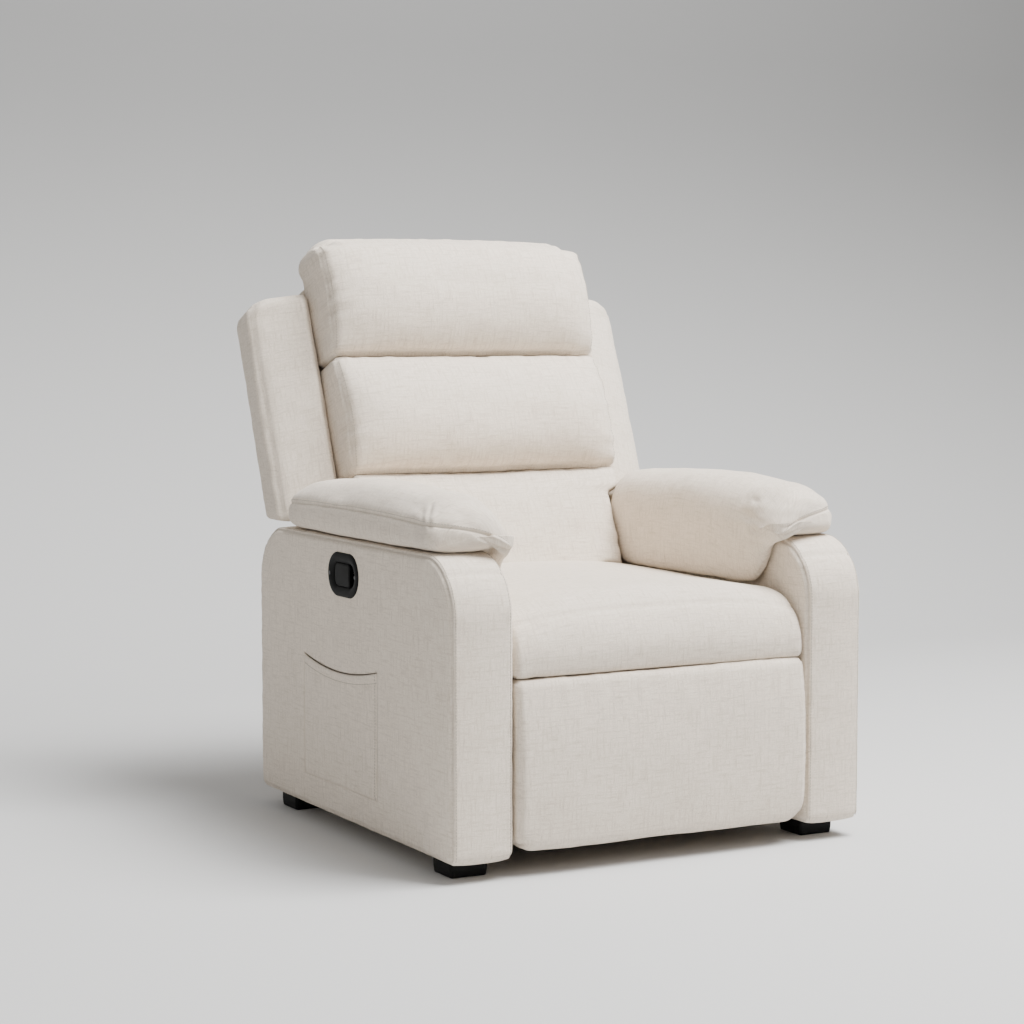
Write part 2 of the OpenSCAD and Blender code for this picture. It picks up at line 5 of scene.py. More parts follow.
import bpy
import numpy as np
from bpy.props import FloatProperty, FloatVectorProperty, IntProperty, PointerProperty
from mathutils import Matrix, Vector
from mathutils.bvhtree import BVHTree
from mathutils.kdtree import KDTree


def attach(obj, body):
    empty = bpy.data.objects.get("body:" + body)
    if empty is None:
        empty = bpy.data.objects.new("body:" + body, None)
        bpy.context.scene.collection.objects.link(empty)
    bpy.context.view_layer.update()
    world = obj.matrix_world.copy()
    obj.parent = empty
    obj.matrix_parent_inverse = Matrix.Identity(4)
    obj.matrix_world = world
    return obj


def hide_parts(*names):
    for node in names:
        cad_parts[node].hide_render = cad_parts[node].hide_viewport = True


bl_info = {
    "name": "Recliner armchair",
    "version": (1, 0, 0),
    "blender": (4, 5, 0),
    "location": "View3D > Sidebar > Recliner",
    "description": "Builds a linen recliner armchair round its CAD frame",
    "category": "Add Mesh",
}

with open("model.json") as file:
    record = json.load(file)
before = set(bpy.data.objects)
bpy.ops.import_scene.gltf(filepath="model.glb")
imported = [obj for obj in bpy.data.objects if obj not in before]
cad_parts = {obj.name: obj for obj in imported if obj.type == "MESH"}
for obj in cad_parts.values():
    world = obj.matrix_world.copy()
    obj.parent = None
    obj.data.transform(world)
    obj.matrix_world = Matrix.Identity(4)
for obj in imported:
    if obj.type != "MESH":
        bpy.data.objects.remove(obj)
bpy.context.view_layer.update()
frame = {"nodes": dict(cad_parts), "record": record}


# ---------- settings ----------
def length(name, description, default):
    return FloatProperty(name=name, description=description, default=default, unit="LENGTH",
                         subtype="DISTANCE")


def colour(name, description, default):
    return FloatVectorProperty(name=name, description=description, default=default, size=4, subtype="COLOR",
                               min=0.0, max=1.0)


class ReclinerSizes(bpy.types.PropertyGroup):
    """Sizes of the upholstery, in metres"""
    grid: length("Grid step", "Spacing of the mesh lines over the cloth", 0.007)
    seam_depth: length("Seam depth", "How far a seam pulls the cloth in", 0.0022)
    seam_width: length("Seam width", "Half width of the valley along a seam", 0.0022)
    pucker: length("Pucker height", "Height of the small gathers along a seam", 0.0007)
    stitch_pitch: length("Stitch pitch", "Distance from one stitch to the next", 0.0052)
    stitch_length: length("Stitch length", "Length of thread seen in one stitch", 0.0036)
    thread: length("Thread radius", "Radius of the sewing thread", 0.00055)
    arm_round: length("Arm corner radius", "Radius of the arm's front and rear top", 0.100)
    arm_puff: length("Arm front puff", "How far the arm's front strip swells", 0.004)
    seat_crown: length("Seat crown", "How much higher the seat is in the middle", 0.022)
    footrest_puff: length("Footrest puff", "How far the footrest's face swells", 0.012)
    head_puff: length("Head cushion puff", "Depth of the head cushion before its seams", 0.062)
    middle_puff: length("Middle cushion puff", "Depth of the middle cushion before its seams", 0.056)
    lower_puff: length("Lower cushion puff", "Depth of the lower cushion before its seams", 0.032)
    cushion_round: length("Cushion edge radius", "Radius of the back cushions' edges", 0.011)


class ReclinerLook(bpy.types.PropertyGroup):
    """Colours and light"""
    linen: colour("Linen", "Base colour of the cloth", (0.815, 0.720, 0.607, 1.0))
    linen_dark: colour("Linen slubs", "Colour of the thicker threads", (0.575, 0.487, 0.387, 1.0))
    plastic: colour("Plastic", "Handle and feet", (0.004, 0.004, 0.004, 1.0))
    backdrop: colour("Backdrop", "Floor and wall", (0.60, 0.597, 0.590, 1.0))
    key_power: FloatProperty(name="Key light", description="Power of the large light", default=660.0, min=0.0)
    fill_power: FloatProperty(name="Fill light", description="Power of the fill light", default=14.0, min=0.0)
    sky: FloatProperty(name="Sky strength", description="Strength of the even light", default=0.5, min=0.0)
    seed: IntProperty(name="Seed", description="Seed of the wrinkles", default=7, min=0)


def sizes():
    return bpy.context.scene.recliner_sizes


def look():
    return bpy.context.scene.recliner_look


# ---------- the back's own frame: x, v rearward, u up along the back ----------
LEAN = math.radians(21.5)
PIVOT = np.array([0.0, 0.190, 0.300])


def back_to_world(p):
    c, s = math.cos(LEAN), math.sin(LEAN)
    return np.stack([p[:, 0], p[:, 1] * c + p[:, 2] * s, p[:, 2] * c - p[:, 1] * s], 1) + PIVOT


# ---------- number helpers ----------
def unit_rows(v):
    return v / np.maximum(np.linalg.norm(v, axis=1, keepdims=True), 1e-12)


def smooth01(t):
    t = np.clip(t, 0, 1)
    return t * t * (3 - 2 * t)


def lattice(i, j, k, seed):
    h = (i * 374761393 + j * 668265263 + k * 2147483647 + seed * 974634777) & 0xFFFFFFFF
    h = ((h ^ (h >> 13)) * 1274126177) & 0xFFFFFFFF
    return ((h ^ (h >> 16)) & 0xFFFFFF) / 0xFFFFFF * 2 - 1


def noise(p, scale, seed=0):
    """Smooth noise from -1 to 1 at points p; scale is the size of a bump along each axis, in metres."""
    q = p / np.asarray(scale, float)
    i = np.floor(q).astype(np.int64)
    f = smooth01(q - i)
    out = np.zeros(len(p))
    for a in (0, 1):
        for b in (0, 1):
            for c in (0, 1):
                w = ((f[:, 0] if a else 1 - f[:, 0]) * (f[:, 1] if b else 1 - f[:, 1])
                     * (f[:, 2] if c else 1 - f[:, 2]))
                out += w * lattice(i[:, 0] + a, i[:, 1] + b, i[:, 2] + c, seed)
    return out


def gauss(d, width):
    return np.exp(-(d / width) ** 2)


# ---------- soft blocks ----------
def grid_lines(half, step, fine=()):
    """Mesh lines from -half to half, with closer ones round the places in fine."""
    n = max(2, int(math.ceil(2 * half / step)))
    t = list(np.linspace(-half, half, n + 1))
    for f in fine:
        t += [f + d for d in (-0.006, -0.0035, -0.0018, 0, 0.0018, 0.0035, 0.006)]
    t = np.array(sorted(x for x in t if -half <= x <= half))
    keep = [t[0]]
    for x in t[1:]:
        if x - keep[-1] > 0.0014 or x == t[-1]:
            if x == t[-1] and x - keep[-1] < 0.0014 and len(keep) > 1:
                keep.pop()
            keep.append(x)
    return np.array(keep)


def box_grid(xs, ys, zs):
    """Points and outward quads of a closed box whose faces are ruled by the given lines."""
    nx, ny, nz = len(xs) - 1, len(ys) - 1, len(zs) - 1
    quads = []

    def face(a, b, fixed, order, flip):
        i, j = np.meshgrid(np.arange(a), np.arange(b), indexing="ij")
        corner = [(i, j), (i + 1, j), (i + 1, j + 1), (i, j + 1)]
        if flip:
            corner.reverse()
        ids = []
        for u, v in corner:
            idx = [None, None, None]
            idx[order[0]], idx[order[1]], idx[order[2]] = u, v, np.full_like(u, fixed)
            ids.append((idx[0] * (ny + 1) + idx[1]) * (nz + 1) + idx[2])
        quads.append(np.stack([q.ravel() for q in ids], 1))

    face(nx, ny, 0, (0, 1, 2), True)
    face(nx, ny, nz, (0, 1, 2), False)
    face(ny, nz, 0, (1, 2, 0), True)
    face(ny, nz, nx, (1, 2, 0), False)
    face(nx, nz, 0, (0, 2, 1), False)
    face(nx, nz, ny, (0, 2, 1), True)
    quads = np.concatenate(quads)
    code, quads = np.unique(quads, return_inverse=True)
    quads = quads.reshape(-1, 4)
    k = code % (nz + 1)
    j = (code // (nz + 1)) % (ny + 1)
    i = code // ((nz + 1) * (ny + 1))
    return np.stack([xs[i], ys[j], zs[k]], 1), quads


def round_edges(p, half, r):
    h = np.asarray(half)
    q = np.clip(p, -(h - r), h - r)
    return q + unit_rows(p - q) * r


def round_corner(p, axes, half, signs, r):
    """Bends the square corner of the block, seen along the third axis, to radius r."""
    i, j = axes
    a = signs[0] * p[:, i] - (half[i] - r)
    b = signs[1] * p[:, j] - (half[j] - r)
    m = (a > 0) & (b > 0)
    a, b = a[m], b[m]
    big = np.maximum(a, b)
    ang = np.where(b >= a, math.pi / 2 - math.pi / 4 * a / np.maximum(b, 1e-9),
                   math.pi / 4 * b / np.maximum(a, 1e-9))
    p = p.copy()
    p[m, i] = signs[0] * (half[i] - r + big * np.cos(ang))
    p[m, j] = signs[1] * (half[j] - r + big * np.sin(ang))
    return p


def normals_of(p, quads):
    n = np.cross(p[quads[:, 2]] - p[quads[:, 0]], p[quads[:, 3]] - p[quads[:, 1]])
    out = np.zeros_like(p)
    for c in range(4):
        np.add.at(out, quads[:, c], n)
    return unit_rows(out)


class Block:
    """A closed soft block: flat box coordinates b, final points p, and quads."""

    def __init__(self, half, step, fine=((), (), ())):
        self.half = np.asarray(half, float)
        self.b, self.quads = box_grid(*(grid_lines(h, step, f) for h, f in zip(half, fine)))
        self.p = self.b.copy()

    def round(self, r, corners=()):
        self.p = round_edges(self.p, self.half, r)
        for axes, signs, radius in corners:
            self.p = round_corner(self.p, axes, self.half, signs, radius)
        return self

    def edge_distance(self, axis=0):
        """Distance over the cloth from the two outlines that bound the faces across the given axis."""
        others = [a for a in range(3) if a != axis]
        side = np.minimum(*(self.half[a] - np.abs(self.b[:, a]) for a in others))
        return (self.half[axis] - np.abs(self.b[:, axis])) + side

    def push(self, d):
        self.p = self.p + normals_of(self.p, self.quads) * np.asarray(d)[:, None]
        return self

    def seam(self, d, depth=None):
        """Pulls the cloth in along d = 0 and gathers it a little on both sides."""
        s = sizes()
        depth = s.seam_depth if depth is None else depth
        out = -depth * gauss(d, s.seam_width) - 0.35 * depth * gauss(d, 0.009)
        g = noise(self.b, 0.011, look().seed + 3)
        out += s.pucker * g * gauss(d - 0.007, 0.011)
        return self.push(out)

    def ripples(self, height, scale, seed, mask=1.0):
        return self.push(height * noise(self.b, scale, seed + look().seed) * mask)

    def line(self, mask, key):
        """Points and normals of the mesh line picked by mask, in the order of key."""
        idx = np.nonzero(mask)[0]
        idx = idx[np.argsort(key[idx])]
        n = normals_of(self.p, self.quads)
        return self.p[idx], n[idx]

    def uv(self):
        """Cloth coordinates in metres for each corner of each quad, from the flat box."""
        c = self.b[self.quads]
        flat = np.argmin(c.max(1) - c.min(1), axis=1)
        pick = np.array([[1, 2], [0, 2], [0, 1]])[flat]
        rows = np.arange(len(c))[:, None]
        return np.stack([c[rows, [0, 1, 2, 3], pick[:, :1]], c[rows, [0, 1, 2, 3], pick[:, 1:]]], 2)


def mesh_object(name, points, faces, material, uv=None):
    mesh = bpy.data.meshes.new(name)
    mesh.from_pydata([tuple(v) for v in points], [], [tuple(int(i) for i in f) for f in faces])
    if uv is not None:
        layer = mesh.uv_layers.new(name="cloth")
        layer.data.foreach_set("uv", np.asarray(uv, np.float32).ravel())
    mesh.polygons.foreach_set("use_smooth", [True] * len(mesh.polygons))
    mesh.materials.append(material)
    mesh.update()
    obj = bpy.data.objects.new(name, mesh)
    bpy.context.scene.collection.objects.link(obj)
    return obj


def join_blocks(name, blocks, material):
    """One object from several closed shells."""
    pts, faces, uvs, n = [], [], [], 0
    for b in blocks:
        pts.append(b.p)
        faces.append(b.quads + n)
        uvs.append(b.uv())
        n += len(b.p)
    return mesh_object(name, np.concatenate(pts), np.concatenate(faces), material, np.concatenate(uvs))


def applied(obj):
    """The object's mesh with its modifiers worked out."""
    deps = bpy.context.evaluated_depsgraph_get()
    mesh = bpy.data.meshes.new_from_object(obj.evaluated_get(deps))
    old = obj.data
    obj.modifiers.clear()
    obj.data = mesh
    mesh.name = obj.name
    bpy.data.meshes.remove(old)
    return obj


def cut(obj, cutter):
    mod = obj.modifiers.new("cut", "BOOLEAN")
    mod.operation, mod.object, mod.solver = "DIFFERENCE", cutter, "EXACT"
    applied(obj)
    bpy.data.objects.remove(cutter)
    obj.data.polygons.foreach_set("use_smooth", [True] * len(obj.data.polygons))
    return obj


def finish_soft(obj, body, nodes):
    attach(obj, body)
    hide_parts(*nodes)
    return obj


# ---------- materials ----------
class Nodes:
    """Short way to write a material's node tree."""

    def __init__(self, name):
        self.mat = bpy.data.materials.new(name)
        self.mat.use_nodes = True
        self.tree = self.mat.node_tree
        self.shader = next(n for n in self.tree.nodes if n.type == "BSDF_PRINCIPLED")

    def add(self, kind, **inputs):
        node = self.tree.nodes.new(kind)
        for key, value in inputs.items():
            target = next((s for s in node.inputs if s.name.replace(" ", "_") == key and s.enabled), None)
            if target is None:
                setattr(node, key, value)
            elif isinstance(value, bpy.types.NodeSocket):
                self.tree.links.new(value, target)
            else:
                target.default_value = value
        return node

    def math(self, op, a, b=0.0):
        node = self.tree.nodes.new("ShaderNodeMath")
        node.operation = op
        for socket, value in zip(node.inputs, (a, b)):
            if isinstance(value, bpy.types.NodeSocket):
                self.tree.links.new(value, socket)
            else:
                socket.default_value = value
        return node.outputs[0]

    def coords(self, uv=False, scale=(1, 1, 1)):
        tex = self.tree.nodes.new("ShaderNodeTexCoord")
        mapping = self.tree.nodes.new("ShaderNodeMapping")
        mapping.inputs["Scale"].default_value = scale
        self.tree.links.new(tex.outputs["UV" if uv else "Object"], mapping.inputs["Vector"])
        return mapping.outputs["Vector"]

    def noise(self, vector, scale, detail=2.0, rough=0.5):
        node = self.add("ShaderNodeTexNoise", Vector=vector, Scale=scale, Detail=detail, Roughness=rough)
        return node.outputs[0]

    def mix(self, factor, a, b):
        node = self.tree.nodes.new("ShaderNodeMix")
        node.data_type = "RGBA"
        sockets = [s for s in node.inputs if s.enabled]
        for socket, value in zip((sockets[0], node.inputs[6], node.inputs[7]), (factor, a, b)):
            if isinstance(value, bpy.types.NodeSocket):
                self.tree.links.new(value, socket)
            else:
                socket.default_value = value
        return node.outputs[2]

    def bump(self, height, distance, strength=1.0, normal=None):
        node = self.add("ShaderNodeBump", Height=height, Distance=distance, Strength=strength)
        if normal is not None:
            self.tree.links.new(normal, node.inputs["Normal"])
        return node.outputs[0]

    def done(self, colour, roughness, normal=None, **constants):
        for name, value in (("Base Color", colour), ("Roughness", roughness), ("Normal", normal)):
            if isinstance(value, bpy.types.NodeSocket):
                self.tree.links.new(value, self.shader.inputs[name])
            elif value is not None:
                self.shader.inputs[name].default_value = value
        for name, value in constants.items():
            self.shader.inputs[name.replace("_", " ")].default_value = value
        return self.mat


def linen_material():
    m = Nodes("linen")
    fine = m.coords(uv=True)
    warp = m.noise(m.coords(uv=True, scale=(1.0, 0.16, 1.0)), 620.0, 3.0, 0.6)
    weft = m.noise(m.coords(uv=True, scale=(0.16, 1.0, 1.0)), 620.0, 3.0, 0.6)
    slub_w = m.noise(m.coords(uv=True, scale=(1.0, 0.10, 1.0)), 240.0, 2.0, 0.5)
    slub_f = m.noise(m.coords(uv=True, scale=(0.10, 1.0, 1.0)), 240.0, 2.0, 0.5)
    broad = m.noise(m.coords(), 5.0, 3.0, 0.55)
    split = m.tree.nodes.new("ShaderNodeSeparateXYZ")
    m.tree.links.new(fine, split.inputs[0])
    over = m.math("MULTIPLY", m.math("SINE", m.math("MULTIPLY", split.outputs[0], 2 * math.pi / 0.0016)),
                  m.math("SINE", m.math("MULTIPLY", split.outputs[1], 2 * math.pi / 0.0016)))
    thread = m.math("MAXIMUM", warp, weft)
    slub = m.math("MAXIMUM", slub_w, slub_f)
    tone = m.math("ADD", m.math("MULTIPLY", m.math("SUBTRACT", thread, 0.55), 2.2),
                  m.math("MULTIPLY", m.math("SUBTRACT", slub, 0.55), 1.9))
    tone = m.math("ADD", tone, m.math("MULTIPLY", m.math("SUBTRACT", broad, 0.5), 0.35))
    tone = m.math("MINIMUM", m.math("MAXIMUM", m.math("ADD", m.math("MULTIPLY", tone, 1.0), 0.31), 0.0), 1.0)
    base = m.mix(tone, tuple(look().linen), tuple(look().linen_dark))
    height = m.math("ADD", m.math("ADD", m.math("MULTIPLY", thread, 0.8), m.math("MULTIPLY", slub, 0.7)),
                    m.math("MULTIPLY", over, 0.16))
    return m.done(base, 0.92, m.bump(height, 0.0011, 0.75), Sheen_Weight=0.22, Sheen_Roughness=0.5,
                  Specular_IOR_Level=0.25)


def thread_material():
    m = Nodes("sewing_thread")
    n = m.noise(m.coords(), 900.0, 2.0)
    base = m.mix(n, (0.50, 0.45, 0.385, 1), (0.36, 0.315, 0.26, 1))
    return m.done(base, 0.75, m.bump(n, 0.0002, 0.5), Sheen_Weight=0.1, Specular_IOR_Level=0.3)


def plastic_material(name="black_plastic", rough=0.58):
    m = Nodes(name)
    grain = m.noise(m.coords(), 1400.0, 2.0)
    broad = m.noise(m.coords(), 30.0, 3.0)
    base = m.mix(broad, tuple(look().plastic), (0.007, 0.007, 0.007, 1))
    r = m.math("ADD", m.math("MULTIPLY", broad, 0.12), rough)
    return m.done(base, r, m.bump(grain, 0.00012, 0.4), Specular_IOR_Level=0.18)


def wood_material():
    m = Nodes("frame_wood")
    ring = m.noise(m.coords(scale=(1, 0.12, 0.12)), 60.0, 4.0, 0.6)
    fine = m.noise(m.coords(scale=(1, 0.05, 0.05)), 700.0, 2.0)
    t = m.math("ADD", m.math("MULTIPLY", ring, 1.2), m.math("MULTIPLY", fine, 0.4))
    base = m.mix(m.math("SUBTRACT", t, 0.3), (0.42, 0.27, 0.14, 1), (0.62, 0.45, 0.27, 1))
    return m.done(base, 0.7, m.bump(fine, 0.0003, 0.5))


def metal_material(name, a, b, metallic, rough, scale=90.0):
    m = Nodes(name)
    broad = m.noise(m.coords(), scale, 4.0, 0.6)
    fine = m.noise(m.coords(scale=(0.2, 1, 1)), 1500.0, 2.0)
    base = m.mix(broad, a, b)
    r = m.math("ADD", m.math("MULTIPLY", m.math("ADD", broad, fine), 0.10), rough)
    return m.done(base, r, m.bump(fine, 0.00008, 0.35), Metallic=metallic)


def cloth_material(name, a, b, pitch):
    m = Nodes(name)
    n = m.noise(m.coords(), 3.0 / pitch, 2.0)
    w = m.tree.nodes.new("ShaderNodeTexWave")
    w.inputs["Scale"].default_value = 0.3 / pitch
    m.tree.links.new(m.coords(), w.inputs["Vector"])
    t = m.math("ADD", m.math("MULTIPLY", n, 0.6), m.math("MULTIPLY", w.outputs["Fac"], 0.4))
    return m.done(m.mix(t, a, b), 0.9, m.bump(t, 0.0004, 0.6), Specular_IOR_Level=0.2)


MATERIALS = {}


def make_materials():
    MATERIALS.update({
        "linen": linen_material(),
        "thread": thread_material(),
        "black_plastic": plastic_material(),
        "frame_wood": wood_material(),
        "steel_black": metal_material("steel_black", (0.018, 0.018, 0.02, 1), (0.035, 0.035, 0.037, 1),
                                      0.0, 0.38),
        "zinc": metal_material("zinc", (0.42, 0.43, 0.44, 1), (0.62, 0.62, 0.60, 1), 1.0, 0.28),
        "spring_steel": metal_material("spring_steel", (0.16, 0.16, 0.17, 1), (0.28, 0.27, 0.26, 1),
                                       1.0, 0.35),
        "dust_cloth": cloth_material("dust_cloth", (0.012, 0.012, 0.012, 1), (0.03, 0.03, 0.03, 1), 0.002),
        "webbing": cloth_material("webbing", (0.33, 0.26, 0.17, 1), (0.47, 0.39, 0.28, 1), 0.004),
    })


# ---------- stitches: geometry nodes ----------
def stitch_tree():
    """Node group: edges in, a row of short threads out."""
    tree = bpy.data.node_groups.new("stitch_row", "GeometryNodeTree")
    face = tree.interface
    face.new_socket("Geometry", in_out="INPUT", socket_type="NodeSocketGeometry")
    for name, value in (("Pitch", 0.005), ("Stitch Length", 0.0035), ("Thread Radius", 0.0004)):
        sock = face.new_socket(name, in_out="INPUT", socket_type="NodeSocketFloat")
        sock.default_value = value
    face.new_socket("Material", in_out="INPUT", socket_type="NodeSocketMaterial")
    face.new_socket("Geometry", in_out="OUTPUT", socket_type="NodeSocketGeometry")
    new, link = tree.nodes.new, tree.links.new
    gin, gout = new("NodeGroupInput"), new("NodeGroupOutput")
    curve, resample = new("GeometryNodeMeshToCurve"), new("GeometryNodeResampleCurve")
    resample.mode = "LENGTH"
    link(gin.outputs["Geometry"], curve.inputs["Mesh"])
    link(curve.outputs["Curve"], resample.inputs["Curve"])
    link(gin.outputs["Pitch"], resample.inputs["Length"])
    bead = new("GeometryNodeMeshCylinder")
    bead.inputs["Vertices"].default_value = 6
    link(gin.outputs["Thread Radius"], bead.inputs["Radius"])
    link(gin.outputs["Stitch Length"], bead.inputs["Depth"])
    tangent, align = new("GeometryNodeInputTangent"), new("FunctionNodeAlignRotationToVector")
    align.axis = "Z"
    link(tangent.outputs[0], align.inputs["Vector"])
    inst = new("GeometryNodeInstanceOnPoints")
    link(resample.outputs["Curve"], inst.inputs["Points"])
    link(bead.outputs["Mesh"], inst.inputs["Instance"])
    link(align.outputs[0], inst.inputs["Rotation"])
    real, paint = new("GeometryNodeRealizeInstances"), new("GeometryNodeSetMaterial")
    link(inst.outputs["Instances"], real.inputs["Geometry"])
    link(real.outputs["Geometry"], paint.inputs["Geometry"])
    link(gin.outputs["Material"], paint.inputs["Material"])
    link(paint.outputs["Geometry"], gout.inputs["Geometry"])
    return tree


STITCH_LINES = {}


def stitch(body, points, normals, lift=0.0002):
    """Remembers a line on the cloth where a row of stitches shows."""
    STITCH_LINES.setdefault(body, []).append(points + normals * lift)


def sew(body, tree):
    pts, edges, n = [], [], 0
    for line in STITCH_LINES[body]:
        pts.append(line)
        edges += [(n + i, n + i + 1) for i in range(len(line) - 1)]
        n += len(line)
    mesh = bpy.data.meshes.new("stitches_" + body)
    mesh.from_pydata([tuple(v) for v in np.concatenate(pts)], edges, [])
    obj = bpy.data.objects.new("stitches_" + body, mesh)
    bpy.context.scene.collection.objects.link(obj)
    mod = obj.modifiers.new("stitches", "NODES")
    mod.node_group = tree
    s = sizes()
    values = {"Pitch": s.stitch_pitch, "Stitch Length": s.stitch_length, "Thread Radius": s.thread,
              "Material": MATERIALS["thread"]}
    for item in tree.interface.items_tree:
        if item.in_out == "INPUT" and item.name in values:
            mod[item.identifier] = values[item.name]
    applied(obj)
    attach(obj, body)
    return obj


# ---------- pieces ----------
def arm(side):
    """One arm's cover: side is 1 for the sitter's left and -1 for the right."""
    s = sizes()
    half = (0.058, 0.3915, 0.2455)
    fine = ((-0.049, 0.049), (), ())
    a = Block(half, s.grid, fine)
    a.round(0.011, [((1, 2), (-1, 1), s.arm_round), ((1, 2), (1, 1), s.arm_round),
                    ((1, 2), (-1, -1), 0.014), ((1, 2), (1, -1), 0.014)])
    d = a.edge_distance()
    strip = np.clip(1 - (a.b[:, 0] / half[0]) ** 2, 0, 1)
    front = smooth01((-a.b[:, 1] - 0.25) / 0.10)
    outside = smooth01((np.abs(a.b[:, 0]) - 0.05) / 0.008)
    a.push(s.arm_puff * strip * (1 - outside) * (0.5 + 0.5 * front)
           + 0.0016 * outside * smooth01(d / 0.06) - 0.0012)
    a.seam(d)
    a.ripples(0.0011, (0.10, 0.09, 0.16), 11, outside * smooth01(d / 0.05))
    a.ripples(0.0007, 0.035, 17, smooth01(d / 0.02))
    # slight pull from the bottom corners
    low = smooth01((-a.b[:, 2] - 0.12) / 0.12)
    a.ripples(0.0010, (0.05, 0.018, 0.12), 19, outside * low)
    a.p += np.array([0.342, -0.0600, 0.2765])
    for x in (-0.049, 0.049):
        on_strip = (np.abs(a.b[:, 0] - x) < 1e-6) & (np.abs(a.b[:, 2] + half[2]) > 1e-6)
        key = np.where(a.b[:, 1] <= -half[1] + 1e-6, a.b[:, 2],
                       np.where(a.b[:, 2] >= half[2] - 1e-6, 1 + a.b[:, 1], 3 - a.b[:, 2]))
        pts, nrm = a.line(on_strip, key)
        mirror = np.array([side, 1, 1])
        stitch("base", pts * mirror, nrm * mirror)
    if side < 0:
        a.p[:, 0] *= -1
        a.quads = a.quads[:, ::-1]
    return a


def stadium(centre, length_y, height, n=28):
    """Outline in Y and Z of a slot with round ends."""
    r = height / 2
    out = []
    for sign in (-1, 1):
        for t in np.linspace(-math.pi / 2, math.pi / 2, n):
            ang = t if sign > 0 else t + math.pi
            out.append((centre[0] + sign * (length_y / 2 - r) + r * math.cos(ang),
                        centre[1] + r * math.sin(ang)))
    return np.array(out)


def prism(name, outline, x0, x1, material):
    """A closed bar whose Y-Z outline runs from x0 to x1."""
    n = len(outline)
    pts = [(x, y, z) for x in (x0, x1) for y, z in outline]
    faces = [[i, (i + 1) % n, n + (i + 1) % n, n + i] for i in range(n)]
    faces += [list(range(n))[::-1], [n + i for i in range(n)]]
    return mesh_object(name, pts, faces, material)


# the handle cup's middle, in Y and Z
CUP_CENTRE = (-0.0475, 0.460)
# the pocket mouth's arc: radius, and the place of its lowest point in Y and Z
MOUTH_RADIUS, MOUTH_Y, MOUTH_Z = 0.680, -0.025, 0.289


def mouth_height(y, lift=0.0):
    return MOUTH_Z + lift + MOUTH_RADIUS - np.sqrt(MOUTH_RADIUS ** 2 - (y - MOUTH_Y) ** 2)


def pocket_outline(y0, y1, low, lift):
    ys = np.linspace(y1, y0, 40)
    return np.array([(y0, low), (y1, low)] + [(y, mouth_height(y, lift)) for y in ys])


class RECLINER_OT_arms(bpy.types.Operator):
    """Builds both arm covers with their front strips and seams"""
    bl_idname = "recliner.arms"
    bl_label = "Arm covers"

    def execute(self, context):
        for side, name in ((-1, "right"), (1, "left")):
            obj = join_blocks("arm_cloth_" + name, [arm(side)], MATERIALS["linen"])
            if side < 0:
                cut(obj, prism("cup_cut", stadium(CUP_CENTRE, 0.112, 0.064), -0.45, -0.372,
                               MATERIALS["linen"]))
                cut(obj, prism("pocket_cut", pocket_outline(-0.1795, 0.1223, 0.0907, 0.0024), -0.45, -0.3915,
                               MATERIALS["linen"]))
            finish_soft(obj, "base", ["arm_cover_" + name])
        return {"FINISHED"}


class RECLINER_OT_pocket(bpy.types.Operator):
    """Builds the slack side pocket's sheet"""
    bl_idname = "recliner.pocket"
    bl_label = "Side pocket"

    def execute(self, context):
        y0, y1, low = -0.1790, 0.1300, 0.0830
        nu, nv = 90, 70
        u, v = np.meshgrid(np.linspace(0, 1, nu), np.linspace(0, 1, nv), indexing="ij")
        y = y0 + (y1 - y0) * u
        z = low + (mouth_height(y) - low) * v
        sag = 0.0016 * gauss(v - 1, 0.16) * np.sin(math.pi * u)
        flat = np.stack([y.ravel(), z.ravel(), z.ravel() * 0], 1)
        edge = np.minimum(np.minimum(u, 1 - u), v)
        puff = 0.0008 * smooth01(edge.ravel() / 0.08) + 0.0006 * noise(flat, (0.09, 0.12, 1), 31)
        below = (1 - v).ravel() * 0.2
        hem = 0.0010 * gauss(below - 0.004, 0.005) - 0.0008 * gauss(below - 0.014, 0.002)
        sunk = 1 - smooth01(np.minimum((1 - u) * (y1 - y0), v * (z - low).max()).ravel() / 0.012)
        outer = -0.4006 - puff - sag.ravel() - hem + 0.0045 * sunk
        front = np.stack([outer, y.ravel(), z.ravel()], 1)
        rear = np.stack([outer + 0.0022, y.ravel(), z.ravel()], 1)
        n = nu * nv
        idx = np.arange(n).reshape(nu, nv)
        a, b, c, d = idx[:-1, :-1], idx[1:, :-1], idx[1:, 1:], idx[:-1, 1:]
        quads = np.stack([a, d, c, b], 2).reshape(-1, 4)
        rim = np.concatenate([idx[:, 0], idx[-1, 1:], idx[-2::-1, -1], idx[0, -2:0:-1]])
        nxt = np.roll(rim, -1)
        sides = np.stack([rim, nxt, nxt + n, rim + n], 1)
        faces = np.concatenate([quads, quads[:, ::-1] + n, sides])
        points = np.concatenate([front, rear])
        uvs = points[faces][:, :, 1:]
        obj = mesh_object("pocket_cloth", points, faces, MATERIALS["linen"], uvs)
        normals = np.tile([-1.0, 0, 0], (nu, 1))
        stitch("base", front[idx[:, -6]], normals)
        stitch("base", front[idx[2, :]], np.tile([-1.0, 0, 0], (nv, 1)))
        finish_soft(obj, "base", ["pocket_sheet"])
        return {"FINISHED"}


def smooth_rows(a, width, closed=False):
    """Evens out a along its first axis with a bell curve of the given width in rows."""
    reach = int(3 * width) + 1
    w = np.exp(-0.5 * (np.arange(-reach, reach + 1) / width) ** 2)
    w /= w.sum()
    if closed:
        ext = np.concatenate([a[-reach:], a, a[:reach]])
    else:
        ext = np.concatenate([2 * a[:1] - a[reach:0:-1], a, 2 * a[-1:] - a[-2:-reach - 2:-1]])
    return sum(w[i] * ext[i:i + len(a)] for i in range(len(w)))


